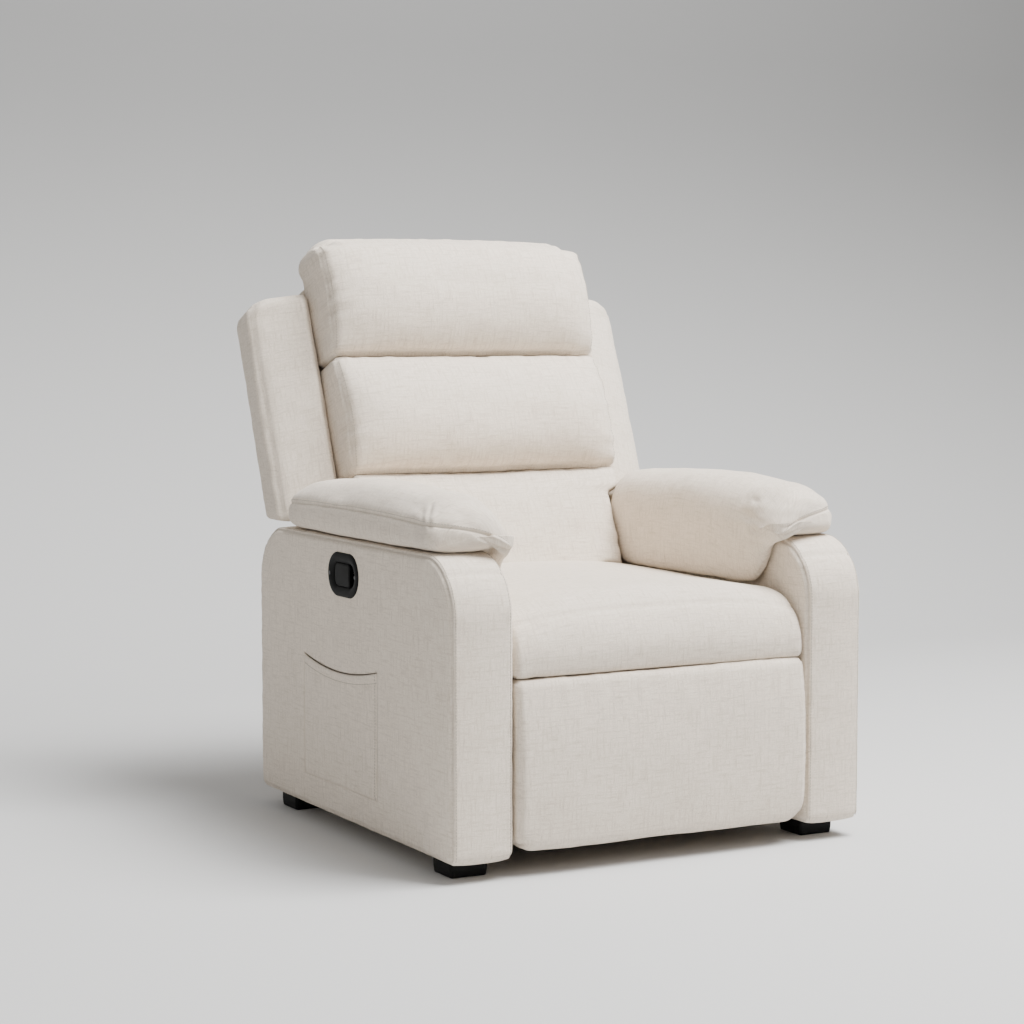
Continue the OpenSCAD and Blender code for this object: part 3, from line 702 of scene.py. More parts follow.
def pad_section(y_out, y_in, xo, xi, top, seam, drape, droop, low, size):
    """Outline of the arm pad at one place along it, from the outer bottom round to the arm's top."""
    inner = 0.2865
    rows = [(xo - 0.006, low), (xo + 0.0015, low + 0.022), (xo - 0.003, seam), (xo - 0.013, seam + 0.015),
            (xo - 0.037, top - 0.006), (0.5 * (xo + xi), top), (xi + 0.040, top - 0.005 - 0.4 * droop),
            (xi + 0.012, top - 0.026 - droop), (xi, top - 0.062 - droop),
            (xi + 0.001, max(drape + 0.045, 0.0)), (xi + 0.006, drape + 0.008), (xi + 0.018, drape - 0.003),
            (max(inner - 0.004, xi + 0.022), drape + 0.012),
            (max(inner - 0.003, xi + 0.024), max(low - 0.016, drape + 0.02)),
            (max(inner + 0.010, xi + 0.034), low), (xo - 0.050, low - 0.0005)]
    p = np.array(rows)
    p[:, 1] = np.maximum(p[:, 1], np.minimum(drape - 0.003, low))
    p = np.concatenate([p, p[:1]])
    way = np.concatenate([[0], np.cumsum(np.linalg.norm(np.diff(p, axis=0), axis=1))])
    anchor = np.linspace(0, 1, len(p))
    fine = np.interp(np.linspace(0, 1, 16 * 16 + 1)[:-1], anchor, way)
    loop = np.stack([np.interp(fine, way, p[:, i]) for i in (0, 1)], 1)
    loop = smooth_rows(loop, 6.0, closed=True)
    centre = np.array([0.5 * (xo + max(xi, 0.27)), 0.5 * (seam + low) + 0.006])
    loop = centre + (loop - centre) * size
    t = np.clip((loop[:, 0] - 0.25) / 0.15, 0, 1)
    return np.stack([loop[:, 0], y_in + (y_out - y_in) * t, loop[:, 1]], 1)


# outer y, inner y, outer x, inner x, top, seam, drape's low edge, droop of the inner shoulder, low side, size
PAD_STATIONS = (
    (0.231, 0.186, 0.402, 0.294, 0.59, 0.57, 0.522, 0, 0.525, 0.03),
    (0.23, 0.187, 0.402, 0.294, 0.591, 0.57, 0.522, 0, 0.525, 0.26),
    (0.227, 0.187, 0.402, 0.293, 0.593, 0.57, 0.522, 0, 0.525, 0.5),
    (0.22, 0.184, 0.402, 0.292, 0.597, 0.571, 0.522, 0, 0.524, 0.71),
    (0.208, 0.176, 0.403, 0.289, 0.602, 0.571, 0.522, 0, 0.524, 0.87),
    (0.189, 0.168, 0.403, 0.28, 0.607, 0.572, 0.52, 0, 0.524, 0.97),
    (0.166, 0.158, 0.403, 0.264, 0.611, 0.573, 0.502, 0, 0.524, 1),
    (0.152, 0.149, 0.403, 0.252, 0.613, 0.574, 0.47, 0, 0.524, 1),
    (0.136, 0.136, 0.403, 0.248, 0.615, 0.574, 0.447, 0, 0.524, 1),
    (0.1, 0.1, 0.403, 0.246, 0.618, 0.575, 0.438, 0, 0.524, 1),
    (0, 0, 0.404, 0.245, 0.623, 0.576, 0.437, 0, 0.524, 1),
    (-0.1, -0.1, 0.404, 0.245, 0.625, 0.577, 0.437, 0, 0.524, 1),
    (-0.19, -0.19, 0.404, 0.246, 0.624, 0.576, 0.437, 0.002, 0.524, 1),
    (-0.25, -0.25, 0.404, 0.247, 0.62, 0.575, 0.437, 0.005, 0.524, 1),
    (-0.288, -0.29, 0.404, 0.248, 0.617, 0.573, 0.438, 0.009, 0.524, 1),
    (-0.31, -0.316, 0.403, 0.249, 0.617, 0.572, 0.441, 0.003, 0.524, 1),
    (-0.326, -0.334, 0.402, 0.249, 0.614, 0.57, 0.456, 0.007, 0.524, 1),
    (-0.338, -0.35, 0.401, 0.249, 0.611, 0.569, 0.482, 0.012, 0.524, 1),
    (-0.348, -0.366, 0.4, 0.249, 0.607, 0.568, 0.505, 0.014, 0.524, 1),
    (-0.357, -0.38, 0.4, 0.249, 0.603, 0.566, 0.512, 0.016, 0.524, 1),
    (-0.365, -0.393, 0.399, 0.25, 0.598, 0.564, 0.514, 0.018, 0.524, 0.96),
    (-0.371, -0.402, 0.398, 0.252, 0.593, 0.563, 0.516, 0.02, 0.524, 0.86),
    (-0.375, -0.409, 0.397, 0.254, 0.59, 0.562, 0.518, 0.02, 0.524, 0.68),
    (-0.377, -0.413, 0.397, 0.254, 0.588, 0.561, 0.52, 0.02, 0.524, 0.44),
    (-0.378, -0.415, 0.397, 0.255, 0.588, 0.561, 0.52, 0.02, 0.524, 0.22),
    (-0.378, -0.415, 0.397, 0.255, 0.588, 0.561, 0.52, 0.02, 0.524, 0.03),
)
# folds: from, to, depth, width of the valley
PAD_FOLDS = (
    ((0.300, -0.322, 0.604), (0.356, -0.376, 0.552), 0.0048, 0.0052),
    ((0.262, -0.318, 0.585), (0.300, -0.380, 0.545), 0.0030, 0.0050),
    ((0.248, -0.330, 0.534), (0.268, -0.388, 0.527), 0.0034, 0.0055),
    ((0.250, -0.300, 0.560), (0.260, -0.380, 0.536), 0.0014, 0.0065),
    ((0.395, -0.300, 0.602), (0.404, -0.335, 0.568), 0.0024, 0.0035),
    ((0.372, -0.330, 0.598), (0.392, -0.364, 0.564), 0.0028, 0.0040),
    ((0.330, -0.350, 0.584), (0.345, -0.386, 0.556), 0.0016, 0.0040),
    ((0.270, -0.345, 0.500), (0.264, -0.330, 0.445), 0.0018, 0.0040),
    ((0.262, -0.400, 0.532), (0.318, -0.398, 0.548), 0.0012, 0.0055),
)
# the welt seam, from the rear end along the outer side and round the front to the nose
PAD_WELT = ((0.372, 0.226, 0.566), (0.395, 0.214, 0.570), (0.404, 0.190, 0.573), (0.405, 0.060, 0.576),
            (0.405, -0.080, 0.577), (0.405, -0.200, 0.576), (0.404, -0.300, 0.573), (0.401, -0.345, 0.570),
            (0.388, -0.374, 0.567), (0.360, -0.388, 0.564), (0.321, -0.397, 0.557), (0.290, -0.403, 0.547),
            (0.266, -0.406, 0.532))


def dense_line(points, step):
    """A smooth line through the points, with a point every step."""
    pts = np.asarray(points, float)
    way = np.concatenate([[0], np.cumsum(np.linalg.norm(np.diff(pts, axis=0), axis=1))])
    t = np.linspace(0, way[-1], max(2, int(way[-1] / step)))
    line = np.stack([np.interp(t, way, pts[:, i]) for i in range(3)], 1)
    return smooth_rows(line, min(0.012 / step, len(line) / 8))


def on_cloth(p, quads, line):
    """The line laid on the surface, with the surface's normals."""
    tree = BVHTree.FromPolygons([tuple(v) for v in p], [tuple(int(i) for i in q) for q in quads])
    hits = [tree.find_nearest(tuple(v)) for v in line]
    nrm = np.array([h[1][:] for h in hits])
    return np.array([h[0][:] for h in hits]), unit_rows(smooth_rows(nrm, 2.0))


def gap_to(p, line, reach):
    """Distance from each point to the line, no more than reach."""
    tree = KDTree(len(line))
    for i, v in enumerate(line):
        tree.insert(tuple(v), i)
    tree.balance()
    out = np.full(len(p), reach)
    near = np.nonzero(np.all((p > line.min(0) - reach) & (p < line.max(0) + reach), axis=1))[0]
    out[near] = [min(reach, tree.find(tuple(p[i]))[2]) for i in near]
    return out


def to_segment(p, a, b):
    """Distance to the line from a to b, and the place along it from 0 to 1."""
    a, b = np.array(a), np.array(b)
    t = ((p - a) @ (b - a)) / ((b - a) @ (b - a))
    return np.linalg.norm(p - a - np.clip(t, 0, 1)[:, None] * (b - a), axis=1), np.clip(t, 0, 1)


def pad_cloth(side, seed):
    """Points, quads and cloth coordinates of one arm pad."""
    step = 0.0028
    net = np.array([pad_section(*row) for row in PAD_STATIONS])
    way = np.concatenate([[0], np.cumsum(np.abs(np.diff(net, axis=0)).sum(2).mean(1) + 0.002)])
    rows = int(0.80 / step)
    s = np.linspace(0, way[-1], rows)
    grid = np.stack([[np.interp(s, way, net[:, k, i]) for i in range(3)] for k in range(net.shape[1])], 0)
    grid = smooth_rows(grid.transpose(2, 0, 1), 0.0075 / step)
    around = np.linspace(0, net.shape[1], int(0.66 / step), endpoint=False)
    lo = np.floor(around).astype(int)
    f = (around - lo)[None, :, None]
    grid = grid[:, lo % net.shape[1]] * (1 - f) + grid[:, (lo + 1) % net.shape[1]] * f
    n, m = grid.shape[:2]
    p = grid.reshape(-1, 3)
    i, j = np.meshgrid(np.arange(n - 1), np.arange(m), indexing="ij")
    j2 = (j + 1) % m
    quads = np.stack([i * m + j, i * m + j2, (i + 1) * m + j2, (i + 1) * m + j], 2).reshape(-1, 4)
    edges = np.linalg.norm(np.diff(grid, axis=1, append=grid[:, :1]), axis=2)
    arc = np.concatenate([np.zeros((n, 1)), np.cumsum(edges, axis=1)], 1)
    along = np.concatenate([[0], np.cumsum(np.linalg.norm(np.diff(grid, axis=0), axis=2).max(1))])
    u = np.stack([arc[i, j], arc[i, j + 1], arc[i + 1, j + 1], arc[i + 1, j]], 2).reshape(-1, 4)
    v = np.stack([along[i], along[i], along[i + 1], along[i + 1]], 2).reshape(-1, 4)
    nrm = normals_of(p, quads)
    welt, _ = on_cloth(p, quads, dense_line(PAD_WELT, 0.0015))
    gap = gap_to(p, welt, 0.03)
    d = -0.0024 * gauss(gap, 0.0020) - 0.0012 * gauss(gap, 0.009)
    for a, b, depth, width in PAD_FOLDS:
        r, t = to_segment(p, a, b)
        along_fold = np.sin(math.pi * np.clip(0.08 + 0.84 * t, 0, 1)) ** 0.7
        d += along_fold * depth * (0.55 * gauss(r - 2.1 * width, 1.3 * width) - gauss(r, width))
    front = smooth01((-p[:, 1] - 0.22) / 0.12)
    q = p * [side, 1, 1]
    d += 0.0022 * noise(q * [1, 0.55, 1], 0.055, seed) + 0.0006 * noise(q, 0.020, seed + 1)
    d += front * (0.0012 * noise(q * [1.0, 0.7, 1.4], 0.019, seed + 2))
    p = p + nrm * d[:, None]
    caps = [list(range(m))[::-1], [(n - 1) * m + k for k in range(m)]]
    above = dense_line(np.array(PAD_WELT) + [0, 0, 0.0052], 0.0015)
    return p, quads, np.stack([u, v], 2), caps, on_cloth(p, quads, above)


class RECLINER_OT_pads(bpy.types.Operator):
    """Builds the arm pads with their welt seam and the folds at the front"""
    bl_idname = "recliner.pads"
    bl_label = "Arm pads"

    def execute(self, context):
        for side, name in ((1, "left"), (-1, "right")):
            p, quads, uv, caps, seam = pad_cloth(side, 41 + side)
            mirror = np.array([side, 1, 1])
            faces = [list(q) for q in quads] + caps
            uv = np.concatenate([uv.reshape(-1, 2), np.zeros((sum(map(len, caps)), 2))])
            if side < 0:
                faces = [f[::-1] for f in faces]
                flat = uv[:len(quads) * 4].reshape(-1, 4, 2)[:, ::-1].reshape(-1, 2)
                uv = np.concatenate([flat, uv[len(quads) * 4:]])
            obj = mesh_object("pad_cloth_" + name, p * mirror, faces, MATERIALS["linen"], uv)
            stitch("base", seam[0] * mirror, seam[1] * mirror)
            finish_soft(obj, "base", ["arm_pad_" + name])
        return {"FINISHED"}


class RECLINER_OT_seat(bpy.types.Operator):
    """Builds the seat cushion with its waterfall front"""
    bl_idname = "recliner.seat"
    bl_label = "Seat cushion"

    def execute(self, context):
        s = sizes()
        half = (0.2815, 0.267, 0.0625)
        c = Block(half, s.grid, ((), (), ()))
        c.round(0.010, [((1, 2), (-1, 1), 0.098), ((1, 2), (1, 1), 0.016)])
        tx = np.abs(c.b[:, 0]) / half[0]
        top = smooth01((c.b[:, 2] + 0.02) / 0.07)
        rel = c.p[:, 2] + half[2]
        crown = (s.seat_crown * (1 - tx ** 2.6) - 0.017) / (2 * half[2])
        c.p[:, 2] = -half[2] + rel * (1 + crown * smooth01(rel / 0.05))
        d = c.edge_distance()
        front = smooth01((-c.b[:, 1] - 0.10) / 0.14)
        c.push(0.004 * front * (1 - tx ** 4) * (1 - gauss(c.b[:, 2] + half[2], 0.02)))
        c.seam(d)
        c.ripples(0.0022, (0.16, 0.10, 0.10), 51, top * smooth01(d / 0.05))
        c.ripples(0.0009, (0.06, 0.03, 0.05), 53, smooth01(d / 0.03))
        c.ripples(0.0016, (0.020, 0.09, 0.09), 57, gauss(d - 0.03, 0.03) * front)
        c.p += np.array([0, -0.179, 0.3845])
        finish_soft(join_blocks("seat_cloth", [c], MATERIALS["linen"]), "seat", ["seat_cushion"])
        return {"FINISHED"}


class RECLINER_OT_footrest(bpy.types.Operator):
    """Builds the footrest panel below the seat's front edge"""
    bl_idname = "recliner.footrest"
    bl_label = "Footrest"

    def execute(self, context):
        s = sizes()
        half = (0.2815, 0.0265, 0.1410)
        c = Block(half, s.grid, ((), (), ()))
        c.round(0.011, [((0, 2), (1, -1), 0.036), ((0, 2), (-1, -1), 0.036), ((1, 2), (-1, -1), 0.014)])
        tz = c.b[:, 2] / half[2]
        tx = np.abs(c.b[:, 0]) / half[0]
        face = smooth01((-c.p[:, 1]) / 0.02)
        bulge = (0.013 * (1 - np.clip(np.abs(tz + 0.08), 0, 1.08) ** 2.4 / 1.2)
                 + s.footrest_puff * 0.35 * (1 - tx ** 4))
        c.p[:, 1] -= face * bulge
        d = c.edge_distance()
        c.seam(d)
        c.ripples(0.0020, (0.14, 0.10, 0.12), 61, smooth01(d / 0.04))
        c.ripples(0.0008, (0.03, 0.05, 0.05), 67, smooth01(d / 0.02))
        c.ripples(0.0014, (0.016, 0.1, 0.10), 69, gauss(c.b[:, 2] - half[2], 0.05))
        c.p += np.array([0, -0.4215, 0.1805])
        obj = join_blocks("footrest_cloth", [c], MATERIALS["linen"])
        finish_soft(obj, "footrest", ["footrest_pad"])
        return {"FINISHED"}


# in the back's own frame: rear face, line of the front seam, half widths, corner radius
CUSHION_REAR, CUSHION_SEAM = -0.0525, -0.132
CUSHION_HALF, LOWER_HALF = 0.279, 0.2495
CUSHION_CORNER = 0.009


def back_cushion(low, high, puff, side_puff, top_round, width=CUSHION_HALF):
    """A cushion of the back: fullest in the middle, drawn in along its seams."""
    s = sizes()
    hu, hv = (high - low) / 2, (CUSHION_REAR - CUSHION_SEAM) / 2
    c = Block((width, hv, hu), s.grid, ((), (), ()))
    corners = [((1, 2), (-1, 1), top_round)] if top_round else []
    upper = 0.050 if top_round else CUSHION_CORNER
    corners += [((0, 2), (a, 1), upper) for a in (-1, 1)] + [((0, 2), (a, -1), CUSHION_CORNER) for a in (-1, 1)]
    c.round(s.cushion_round, corners)
    tu, tx = c.b[:, 2] / hu, np.abs(c.b[:, 0]) / width
    front = smooth01((hv - c.p[:, 1]) / (2 * hv))
    sharp = 2.4 if not top_round else np.where(tu > 0, 3.2, 2.4)
    # fullest below the middle, as filling settles
    low_tu = np.clip(tu + 0.22 * (1 - tu ** 2), -1, 1)
    full = (1 - np.abs(low_tu) ** sharp) ** 0.72
    across = (1 - tx ** 6) ** 0.8
    c.p[:, 1] -= front * (side_puff * (1 - tu ** 2) + (puff - side_puff) * full * across)
    # the side bulges a little outwards between the seams
    c.p[:, 0] += np.sign(c.b[:, 0]) * 0.0035 * smooth01((tx - 0.9) / 0.1) * (1 - tu ** 2) * (1 - front)
    ends = hu - np.abs(c.b[:, 2])
    # the head cushion's cloth runs over the top in one piece
    seamed = np.where(c.b[:, 2] > 0, 1.0, ends) if top_round else ends
    c.seam(np.abs(c.b[:, 1] + hv) + np.minimum(width - np.abs(c.b[:, 0]), seamed))
    sides = width - np.abs(c.b[:, 0])
    face = smooth01((-c.b[:, 1] + 0.2 * hv) / hv)
    seed = 71 + int(low * 1000)
    c.ripples(0.0024, (0.17, 0.1, 0.08), seed, face)
    c.ripples(0.0010, (0.05, 0.05, 0.03), seed + 2, face)
    c.ripples(0.0018, (0.017, 0.1, 0.06), seed + 4, face * gauss(ends - 0.012, 0.022))
    c.ripples(0.0022, (0.07, 0.1, 0.016), seed + 6, face * gauss(sides - 0.012, 0.030))
    c.p += np.array([0, (CUSHION_REAR + CUSHION_SEAM) / 2, (low + high) / 2])
    if top_round:
        top = smooth01((c.b[:, 2] / hu - 0.2) / 0.8)
        c.p[:, 2] += 0.006 * top * (1 - tx ** 2)
        # over the top of the outside back
        c.p[:, 1] += 0.0150 * smooth01((c.p[:, 2] - 0.690) / 0.035) * smooth01(0.3 + 0.7 * c.b[:, 1] / hv)
    on_line = (np.abs(c.b[:, 1] + hv) < 1e-6) & (np.abs(np.abs(c.b[:, 0]) - (width - 0.0055)) < 0.0016)
    c.rows = [c.line(on_line & (np.sign(c.b[:, 0]) == side) & (ends > 0.012), c.b[:, 2])
              for side in (-1, 1)]
    return c


class RECLINER_OT_back_cushions(bpy.types.Operator):
    """Builds the head, middle and lower cushions of the back"""
    bl_idname = "recliner.back_cushions"
    bl_label = "Back cushions"

    def execute(self, context):
        s = sizes()
        for name, low, high, puff, side, top in (
                ("head_cushion", 0.5210, 0.7700, s.head_puff, 0.022, 0.056),
                ("middle_cushion", 0.2905, 0.5200, s.middle_puff, 0.015, 0.0),
                ("lower_cushion", 0.0050, 0.2895, s.lower_puff, 0.008, 0.0)):
            lower = name == "lower_cushion"
            c = back_cushion(low, high, puff, side, top, LOWER_HALF if lower else CUSHION_HALF)
            if lower:
                # full width above the arm pads
                c.p[:, 0] *= 1 + (CUSHION_HALF / LOWER_HALF - 1) * smooth01((c.p[:, 2] - 0.236) / 0.016)
            moved = back_to_world(c.p)
            if lower:
                # drawn back where the seat's rear edge tucks in
                line = 0.090 - 0.39 * np.maximum(0.4340 - moved[:, 2], 0)
                low_part = smooth01((0.470 - moved[:, 2]) / 0.03)
                moved[:, 1] = np.maximum(moved[:, 1], line * low_part - 10 * (1 - low_part))
            else:
                for pts, nrm in c.rows:
                    turned = back_to_world(nrm) - PIVOT
                    stitch("back", back_to_world(pts), turned)
            c.p = moved
            finish_soft(join_blocks(name + "_cloth", [c], MATERIALS["linen"]), "back", [name])
        return {"FINISHED"}


class RECLINER_OT_wings(bpy.types.Operator):
    """Builds the wings beside the back cushions"""
    bl_idname = "recliner.wings"
    bl_label = "Wings"

    def execute(self, context):
        s = sizes()
        for side, name in ((-1, "wing_right"), (1, "wing_left")):
            half = (0.0570, 0.0555, 0.2165)
            c = Block(half, s.grid, ((), (), ()))
            c.round(0.010, [((0, 2), (1, 1), 0.044), ((1, 2), (-1, 1), 0.030), ((1, 2), (1, 1), 0.020),
                            ((0, 1), (-1, -1), 0.024), ((0, 1), (1, -1), 0.030), ((0, 1), (1, 1), 0.016)])
            d = np.minimum(half[1] - np.abs(c.b[:, 1]), 1) + np.minimum(half[0] - np.abs(c.b[:, 0]),
                                                                         half[2] - np.abs(c.b[:, 2]))
            x, v, u = c.p.T
            x, v, u = x + 0.3400, v - 0.0325, u + 0.4525
            k = 1 - 0.38 * np.clip((x - 0.300) / 0.086, 0, 1.1)
            v = 0.023 + (v - 0.023) * k
            floor = np.maximum((0.231 + 0.3665 * v) / 0.9304, (0.277 - 0.5639 * v) / 1.2969)
            u = u + (floor - 0.236) * smooth01((0.62 - u) / 0.384)
            c.p = np.stack([x, v, u], 1)
            c.seam(d, 0.0003)
            c.ripples(0.0022, (0.07, 0.07, 0.15), 81, smooth01(d / 0.03))
            c.ripples(0.0009, 0.03, 83, smooth01(d / 0.02))
            flange = Block((0.0175, 0.020, 0.19), 0.02).round(0.003)
            flange.p += np.array([0.2685, -0.020, 0.470])
            for b in (c, flange):
                b.p = back_to_world(b.p)
                if side < 0:
                    b.p[:, 0] *= -1
                    b.quads = b.quads[:, ::-1]
            finish_soft(join_blocks(name + "_cloth", [c, flange], MATERIALS["linen"]), "back", [name])
        return {"FINISHED"}


class RECLINER_OT_rear(bpy.types.Operator):
    """Builds the outside back and the panel between the arms' rear ends"""
    bl_idname = "recliner.rear"
    bl_label = "Outside back"

    def execute(self, context):
        s = sizes()
        panel = Block((0.2775, 0.0075, 0.322), s.grid).round(0.006)
        d = panel.edge_distance()
        outer = smooth01(panel.b[:, 1] / 0.004)
        panel.push(0.003 * smooth01(d / 0.08) * outer - 0.001)
        panel.seam(d).ripples(0.0022, (0.2, 0.1, 0.14), 91, smooth01(d / 0.05) * outer)
        panel.p += np.array([0, 0.0153, 0.362])
        cap = Block((0.2775, 0.0345, 0.009), s.grid).round(0.008, [((1, 2), (1, 1), 0.014)])
        cap.ripples(0.001, (0.06, 0.1, 0.1), 93)
        cap.p += np.array([0, -0.0115, 0.680])
        skirt = Block((0.2395, 0.0075, 0.05), s.grid).round(0.006)
        skirt.p += np.array([0, 0.0153, 0.011])
        for b in (panel, cap, skirt):
            b.p = back_to_world(b.p)
        obj = join_blocks("outside_back_cloth", [panel, cap, skirt], MATERIALS["linen"])
        finish_soft(obj, "back", ["outside_back"])
        low = Block((0.2825, 0.0118, 0.1315), s.grid).round(0.008)
        d = low.edge_distance(1)
        low.seam(d).ripples(0.0016, (0.15, 0.1, 0.1), 95, smooth01(d / 0.04))
        low.p += np.array([0, 0.310, 0.1645])
        finish_soft(join_blocks("rear_panel_cloth", [low], MATERIALS["linen"]), "base", ["rear_panel"])
        return {"FINISHED"}


def swept_ring(centre, profile, length_y, height, n=40):
    """Closed ring: a profile of (inset, x) points carried round a slot outline, inset inwards."""
    rings = [stadium(centre, length_y - 2 * inset, height - 2 * inset, n) for inset, _ in profile]
    pts = np.concatenate([np.column_stack([np.full(len(r), x), r]) for r, (_, x) in zip(rings, profile)])
    m = 2 * n
    faces = []
    for i in range(len(profile)):
        j = (i + 1) % len(profile)
        for k in range(m):
            k2 = (k + 1) % m
            faces.append([i * m + k, i * m + k2, j * m + k2, j * m + k])
    return pts, faces


class RECLINER_OT_handle(bpy.types.Operator):
    """Builds the handle cup and the pull lever"""
    bl_idname = "recliner.handle"
    bl_label = "Pull handle"

    def execute(self, context):
        x = -0.400
        profile = [(0.0, x + 0.0008), (0.0003, x - 0.0004), (0.0016, x - 0.0018), (0.0048, x - 0.0030),
                   (0.0080, x - 0.0033), (0.0120, x - 0.0028), (0.0155, x - 0.0014), (0.0178, x + 0.0006),
                   (0.0190, x + 0.0035), (0.0194, x + 0.0200), (0.0202, x + 0.0212), (0.0377, x + 0.0214),
                   (0.0377, x + 0.0238), (0.0180, x + 0.0238), (0.0165, x + 0.0225), (0.0165, x + 0.0020)]
        pts, faces = swept_ring(CUP_CENTRE, profile, 0.125, 0.077)
        cup = mesh_object("cup_shell", pts, [f[::-1] for f in faces], MATERIALS["black_plastic"])
        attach(cup, "base")
        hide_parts("handle_cup")
        corners = [((1, 2), (a, b), 0.014 if a > 0 else 0.007) for a in (1, -1) for b in (1, -1)]
        lever = Block((0.0022, 0.0305, 0.0200), 0.002).round(0.0020, corners)
        bow = 1 - (lever.b[:, 2] / 0.020) ** 2
        lever.p[:, 0] -= 0.0012 * bow * smooth01((0.0305 - lever.b[:, 1]) / 0.05)
        lever.p += np.array([-0.3992, -0.0435, 0.460])
        hub = Block((0.0044, 0.0044, 0.0158), 0.0015).round(0.0042)
        hub.p += np.array([-0.391, -0.020, 0.460])
        web = Block((0.0042, 0.0036, 0.0155), 0.003).round(0.001)
        web.p += np.array([-0.3955, -0.0205, 0.460])
        tail = Block((0.013, 0.0024, 0.0038), 0.002).round(0.0015)
        tail.p += np.array([-0.378, -0.020, 0.460])
        obj = join_blocks("lever_shell", [lever, hub, web, tail], MATERIALS["black_plastic"])
        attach(obj, "lever")
        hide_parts("pull_lever")
        return {"FINISHED"}


class RECLINER_OT_feet(bpy.types.Operator):
    """Builds the four block feet"""
    bl_idname = "recliner.feet"
    bl_label = "Feet"

    def execute(self, context):
        blocks = []
        for sx in (-1, 1):
            for y in (-0.369, 0.253):
                f = Block((0.034, 0.033, 0.0161), 0.003).round(0.0025, [((0, 1), (a, b), 0.005)
                                                                        for a in (-1, 1) for b in (-1, 1)])
                shrink = 1 - 0.035 * smooth01((-f.b[:, 2] - 0.002) / 0.014)
                f.p[:, 0] *= shrink
                f.p[:, 1] *= shrink
                f.p += np.array([sx * 0.342, y, 0.0161])
                blocks.append(f)
        obj = join_blocks("block_feet", blocks, MATERIALS["black_plastic"])
        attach(obj, "base")
        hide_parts("feet")
        return {"FINISHED"}


class RECLINER_OT_stitches(bpy.types.Operator):
    """Sews the rows of stitches with geometry nodes"""
    bl_idname = "recliner.stitches"
    bl_label = "Stitches"

    def execute(self, context):
        tree = stitch_tree()
        for body in STITCH_LINES:
            sew(body, tree)
        return {"FINISHED"}


class RECLINER_OT_hardware(bpy.types.Operator):
    """Gives every piece kept from the frame its finish"""
    bl_idname = "recliner.hardware"
    bl_label = "Hardware finishes"

    def execute(self, context):
        slots = {s["node"]: s["material_slot"] for s in frame["record"]["subparts"]}
        for name, obj in frame["nodes"].items():
            for slot in obj.material_slots:
                slot.link = "OBJECT"
                slot.material = MATERIALS["steel_black" if name == "cup_screws" else slots[name]]
        return {"FINISHED"}


# the camera: place in metres, turn and dip in degrees, lens in millimetres
CAMERA_PLACE = (-2.08805, -3.74892, 0.88521)
CAMERA_TURN, CAMERA_DIP, CAMERA_LENS = 28.59, 4.46, 83.54


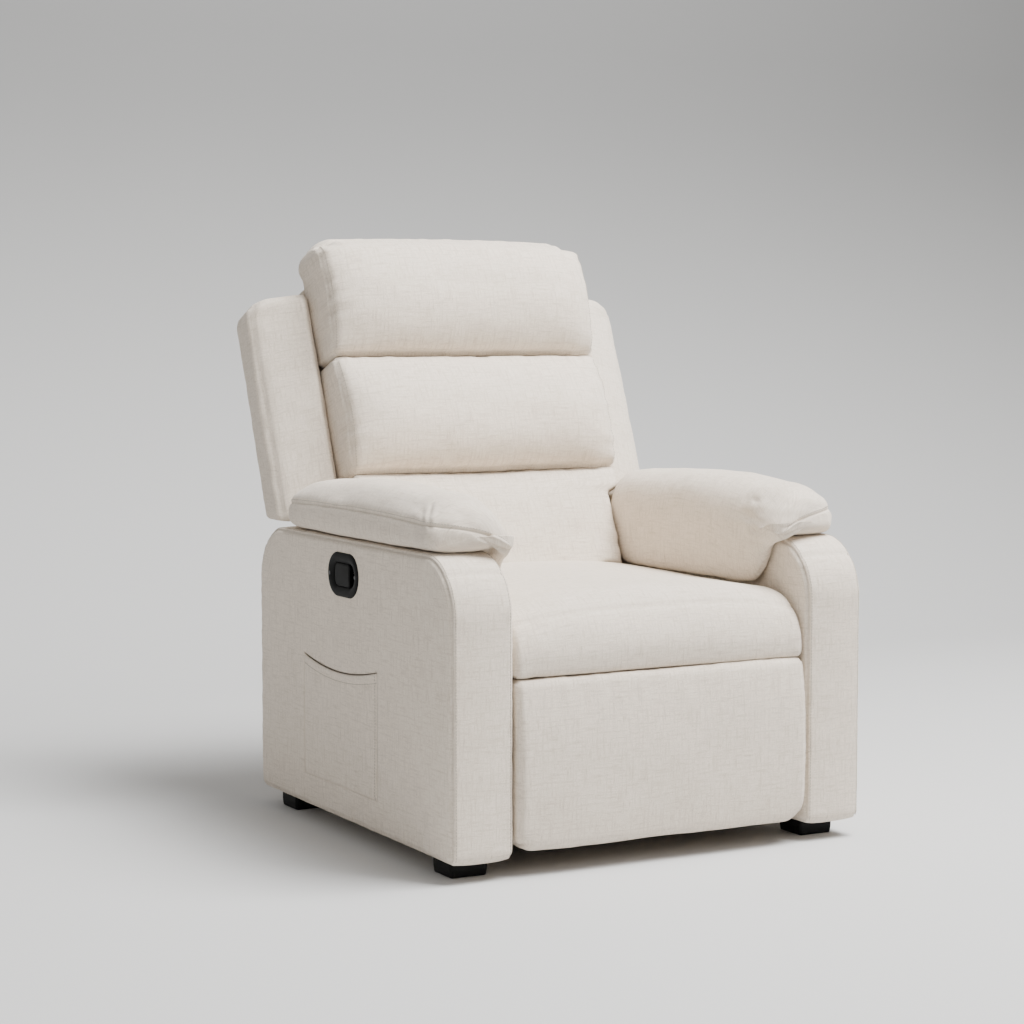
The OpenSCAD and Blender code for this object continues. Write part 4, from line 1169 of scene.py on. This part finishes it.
class RECLINER_OT_stage(bpy.types.Operator):
    """Sets the floor, the light and the camera"""
    bl_idname = "recliner.stage"
    bl_label = "Stage"

    def execute(self, context):
        lk = look()
        # a floor that curves up into a wall of the given radius
        bend = 1.6
        prof = [(-24.0, 0.0), (bend, 0.0)]
        prof += [(bend + bend * math.sin(a), bend - bend * math.cos(a))
                 for a in np.linspace(0.05, math.pi / 2, 24)]
        prof += [(2 * bend, 8.0)]
        pts = [(x, y, z) for y, z in prof for x in (-26.0, 26.0)]
        faces = [(2 * i, 2 * i + 1, 2 * i + 3, 2 * i + 2) for i in range(len(prof) - 1)]
        m = Nodes("backdrop")
        n = m.noise(m.coords(), 1.5, 2.0)
        c = tuple(lk.backdrop)
        split = m.tree.nodes.new("ShaderNodeSeparateXYZ")
        m.tree.links.new(m.coords(), split.inputs[0])
        # painted shade: the backdrop's colour darkens with height, down to 0.42 of itself two metres up the
        # wall, standing in for the wall getting less light than the floor; the noise adds a little random tone
        painted_wall_shade = m.add("ShaderNodeMapRange", Value=split.outputs[2])
        painted_wall_shade.interpolation_type = "SMOOTHSTEP"
        painted_wall_shade.inputs["From Min"].default_value, painted_wall_shade.inputs["From Max"].default_value = -0.3, 2.0
        shade = m.math("ADD", painted_wall_shade.outputs[0], m.math("MULTIPLY", n, 0.04))
        m.done(m.mix(shade, c, (c[0] * 0.42, c[1] * 0.42, c[2] * 0.42, 1)), 0.75, Specular_IOR_Level=0.2)
        floor = mesh_object("backdrop", pts, faces, m.mat)
        world = bpy.data.worlds.new("studio")
        context.scene.world = world
        world.use_nodes = True
        bg = world.node_tree.nodes["Background"]
        bg.inputs["Color"].default_value = (1.0, 0.995, 0.985, 1)
        bg.inputs["Strength"].default_value = lk.sky
        for name, where, aim, size, power in (
                ("key", (1.45, -1.45, 4.45), (0.0, -0.1, 0.5), 2.6, lk.key_power),
                ("fill", (-3.2, -2.2, 2.2), (0.0, 0.0, 0.5), 2.5, lk.fill_power),
                ("wall", (0.6, 0.6, 4.2), (0.0, 3.2, 1.0), 3.0, lk.fill_power)):
            light = bpy.data.lights.new(name, "AREA")
            light.shape, light.size, light.energy = "SQUARE", size, power
            lamp = bpy.data.objects.new(name, light)
            lamp.location = where
            lamp.rotation_euler = (Vector(aim) - Vector(where)).to_track_quat("-Z", "Y").to_euler()
            context.scene.collection.objects.link(lamp)
        cam = bpy.data.cameras.new("camera")
        cam.lens, cam.sensor_width = CAMERA_LENS, 36.0
        obj = bpy.data.objects.new("camera", cam)
        az, el = math.radians(CAMERA_TURN), math.radians(CAMERA_DIP)
        look_dir = Vector((math.sin(az) * math.cos(el), math.cos(az) * math.cos(el), -math.sin(el)))
        obj.location = CAMERA_PLACE
        obj.rotation_euler = look_dir.to_track_quat("-Z", "Y").to_euler()
        context.scene.collection.objects.link(obj)
        context.scene.camera = obj
        return {"FINISHED"}


class RECLINER_PT_panel(bpy.types.Panel):
    bl_idname = "RECLINER_PT_panel"
    bl_label = "Recliner armchair"
    bl_space_type = "VIEW_3D"
    bl_region_type = "UI"
    bl_category = "Recliner"

    def draw(self, context):
        for group in (context.scene.recliner_sizes, context.scene.recliner_look):
            box = self.layout.box()
            for prop in group.bl_rna.properties:
                if not prop.is_readonly and prop.identifier != "name":
                    box.prop(group, prop.identifier)
        for op in OPERATORS:
            self.layout.operator(op.bl_idname)


OPERATORS = (RECLINER_OT_arms, RECLINER_OT_pocket, RECLINER_OT_pads, RECLINER_OT_seat, RECLINER_OT_footrest,
             RECLINER_OT_back_cushions, RECLINER_OT_wings, RECLINER_OT_rear, RECLINER_OT_handle,
             RECLINER_OT_feet, RECLINER_OT_stitches, RECLINER_OT_hardware, RECLINER_OT_stage)
CLASSES = (ReclinerSizes, ReclinerLook, *OPERATORS, RECLINER_PT_panel)


def register():
    for cls in CLASSES:
        bpy.utils.register_class(cls)
    bpy.types.Scene.recliner_sizes = PointerProperty(type=ReclinerSizes)
    bpy.types.Scene.recliner_look = PointerProperty(type=ReclinerLook)


def unregister():
    del bpy.types.Scene.recliner_sizes
    del bpy.types.Scene.recliner_look
    for cls in reversed(CLASSES):
        bpy.utils.unregister_class(cls)


def main():
    register()
    make_materials()
    for op in OPERATORS:
        group, name = op.bl_idname.split(".")
        getattr(getattr(bpy.ops, group), name)()


if __name__ == "__main__":
    main()
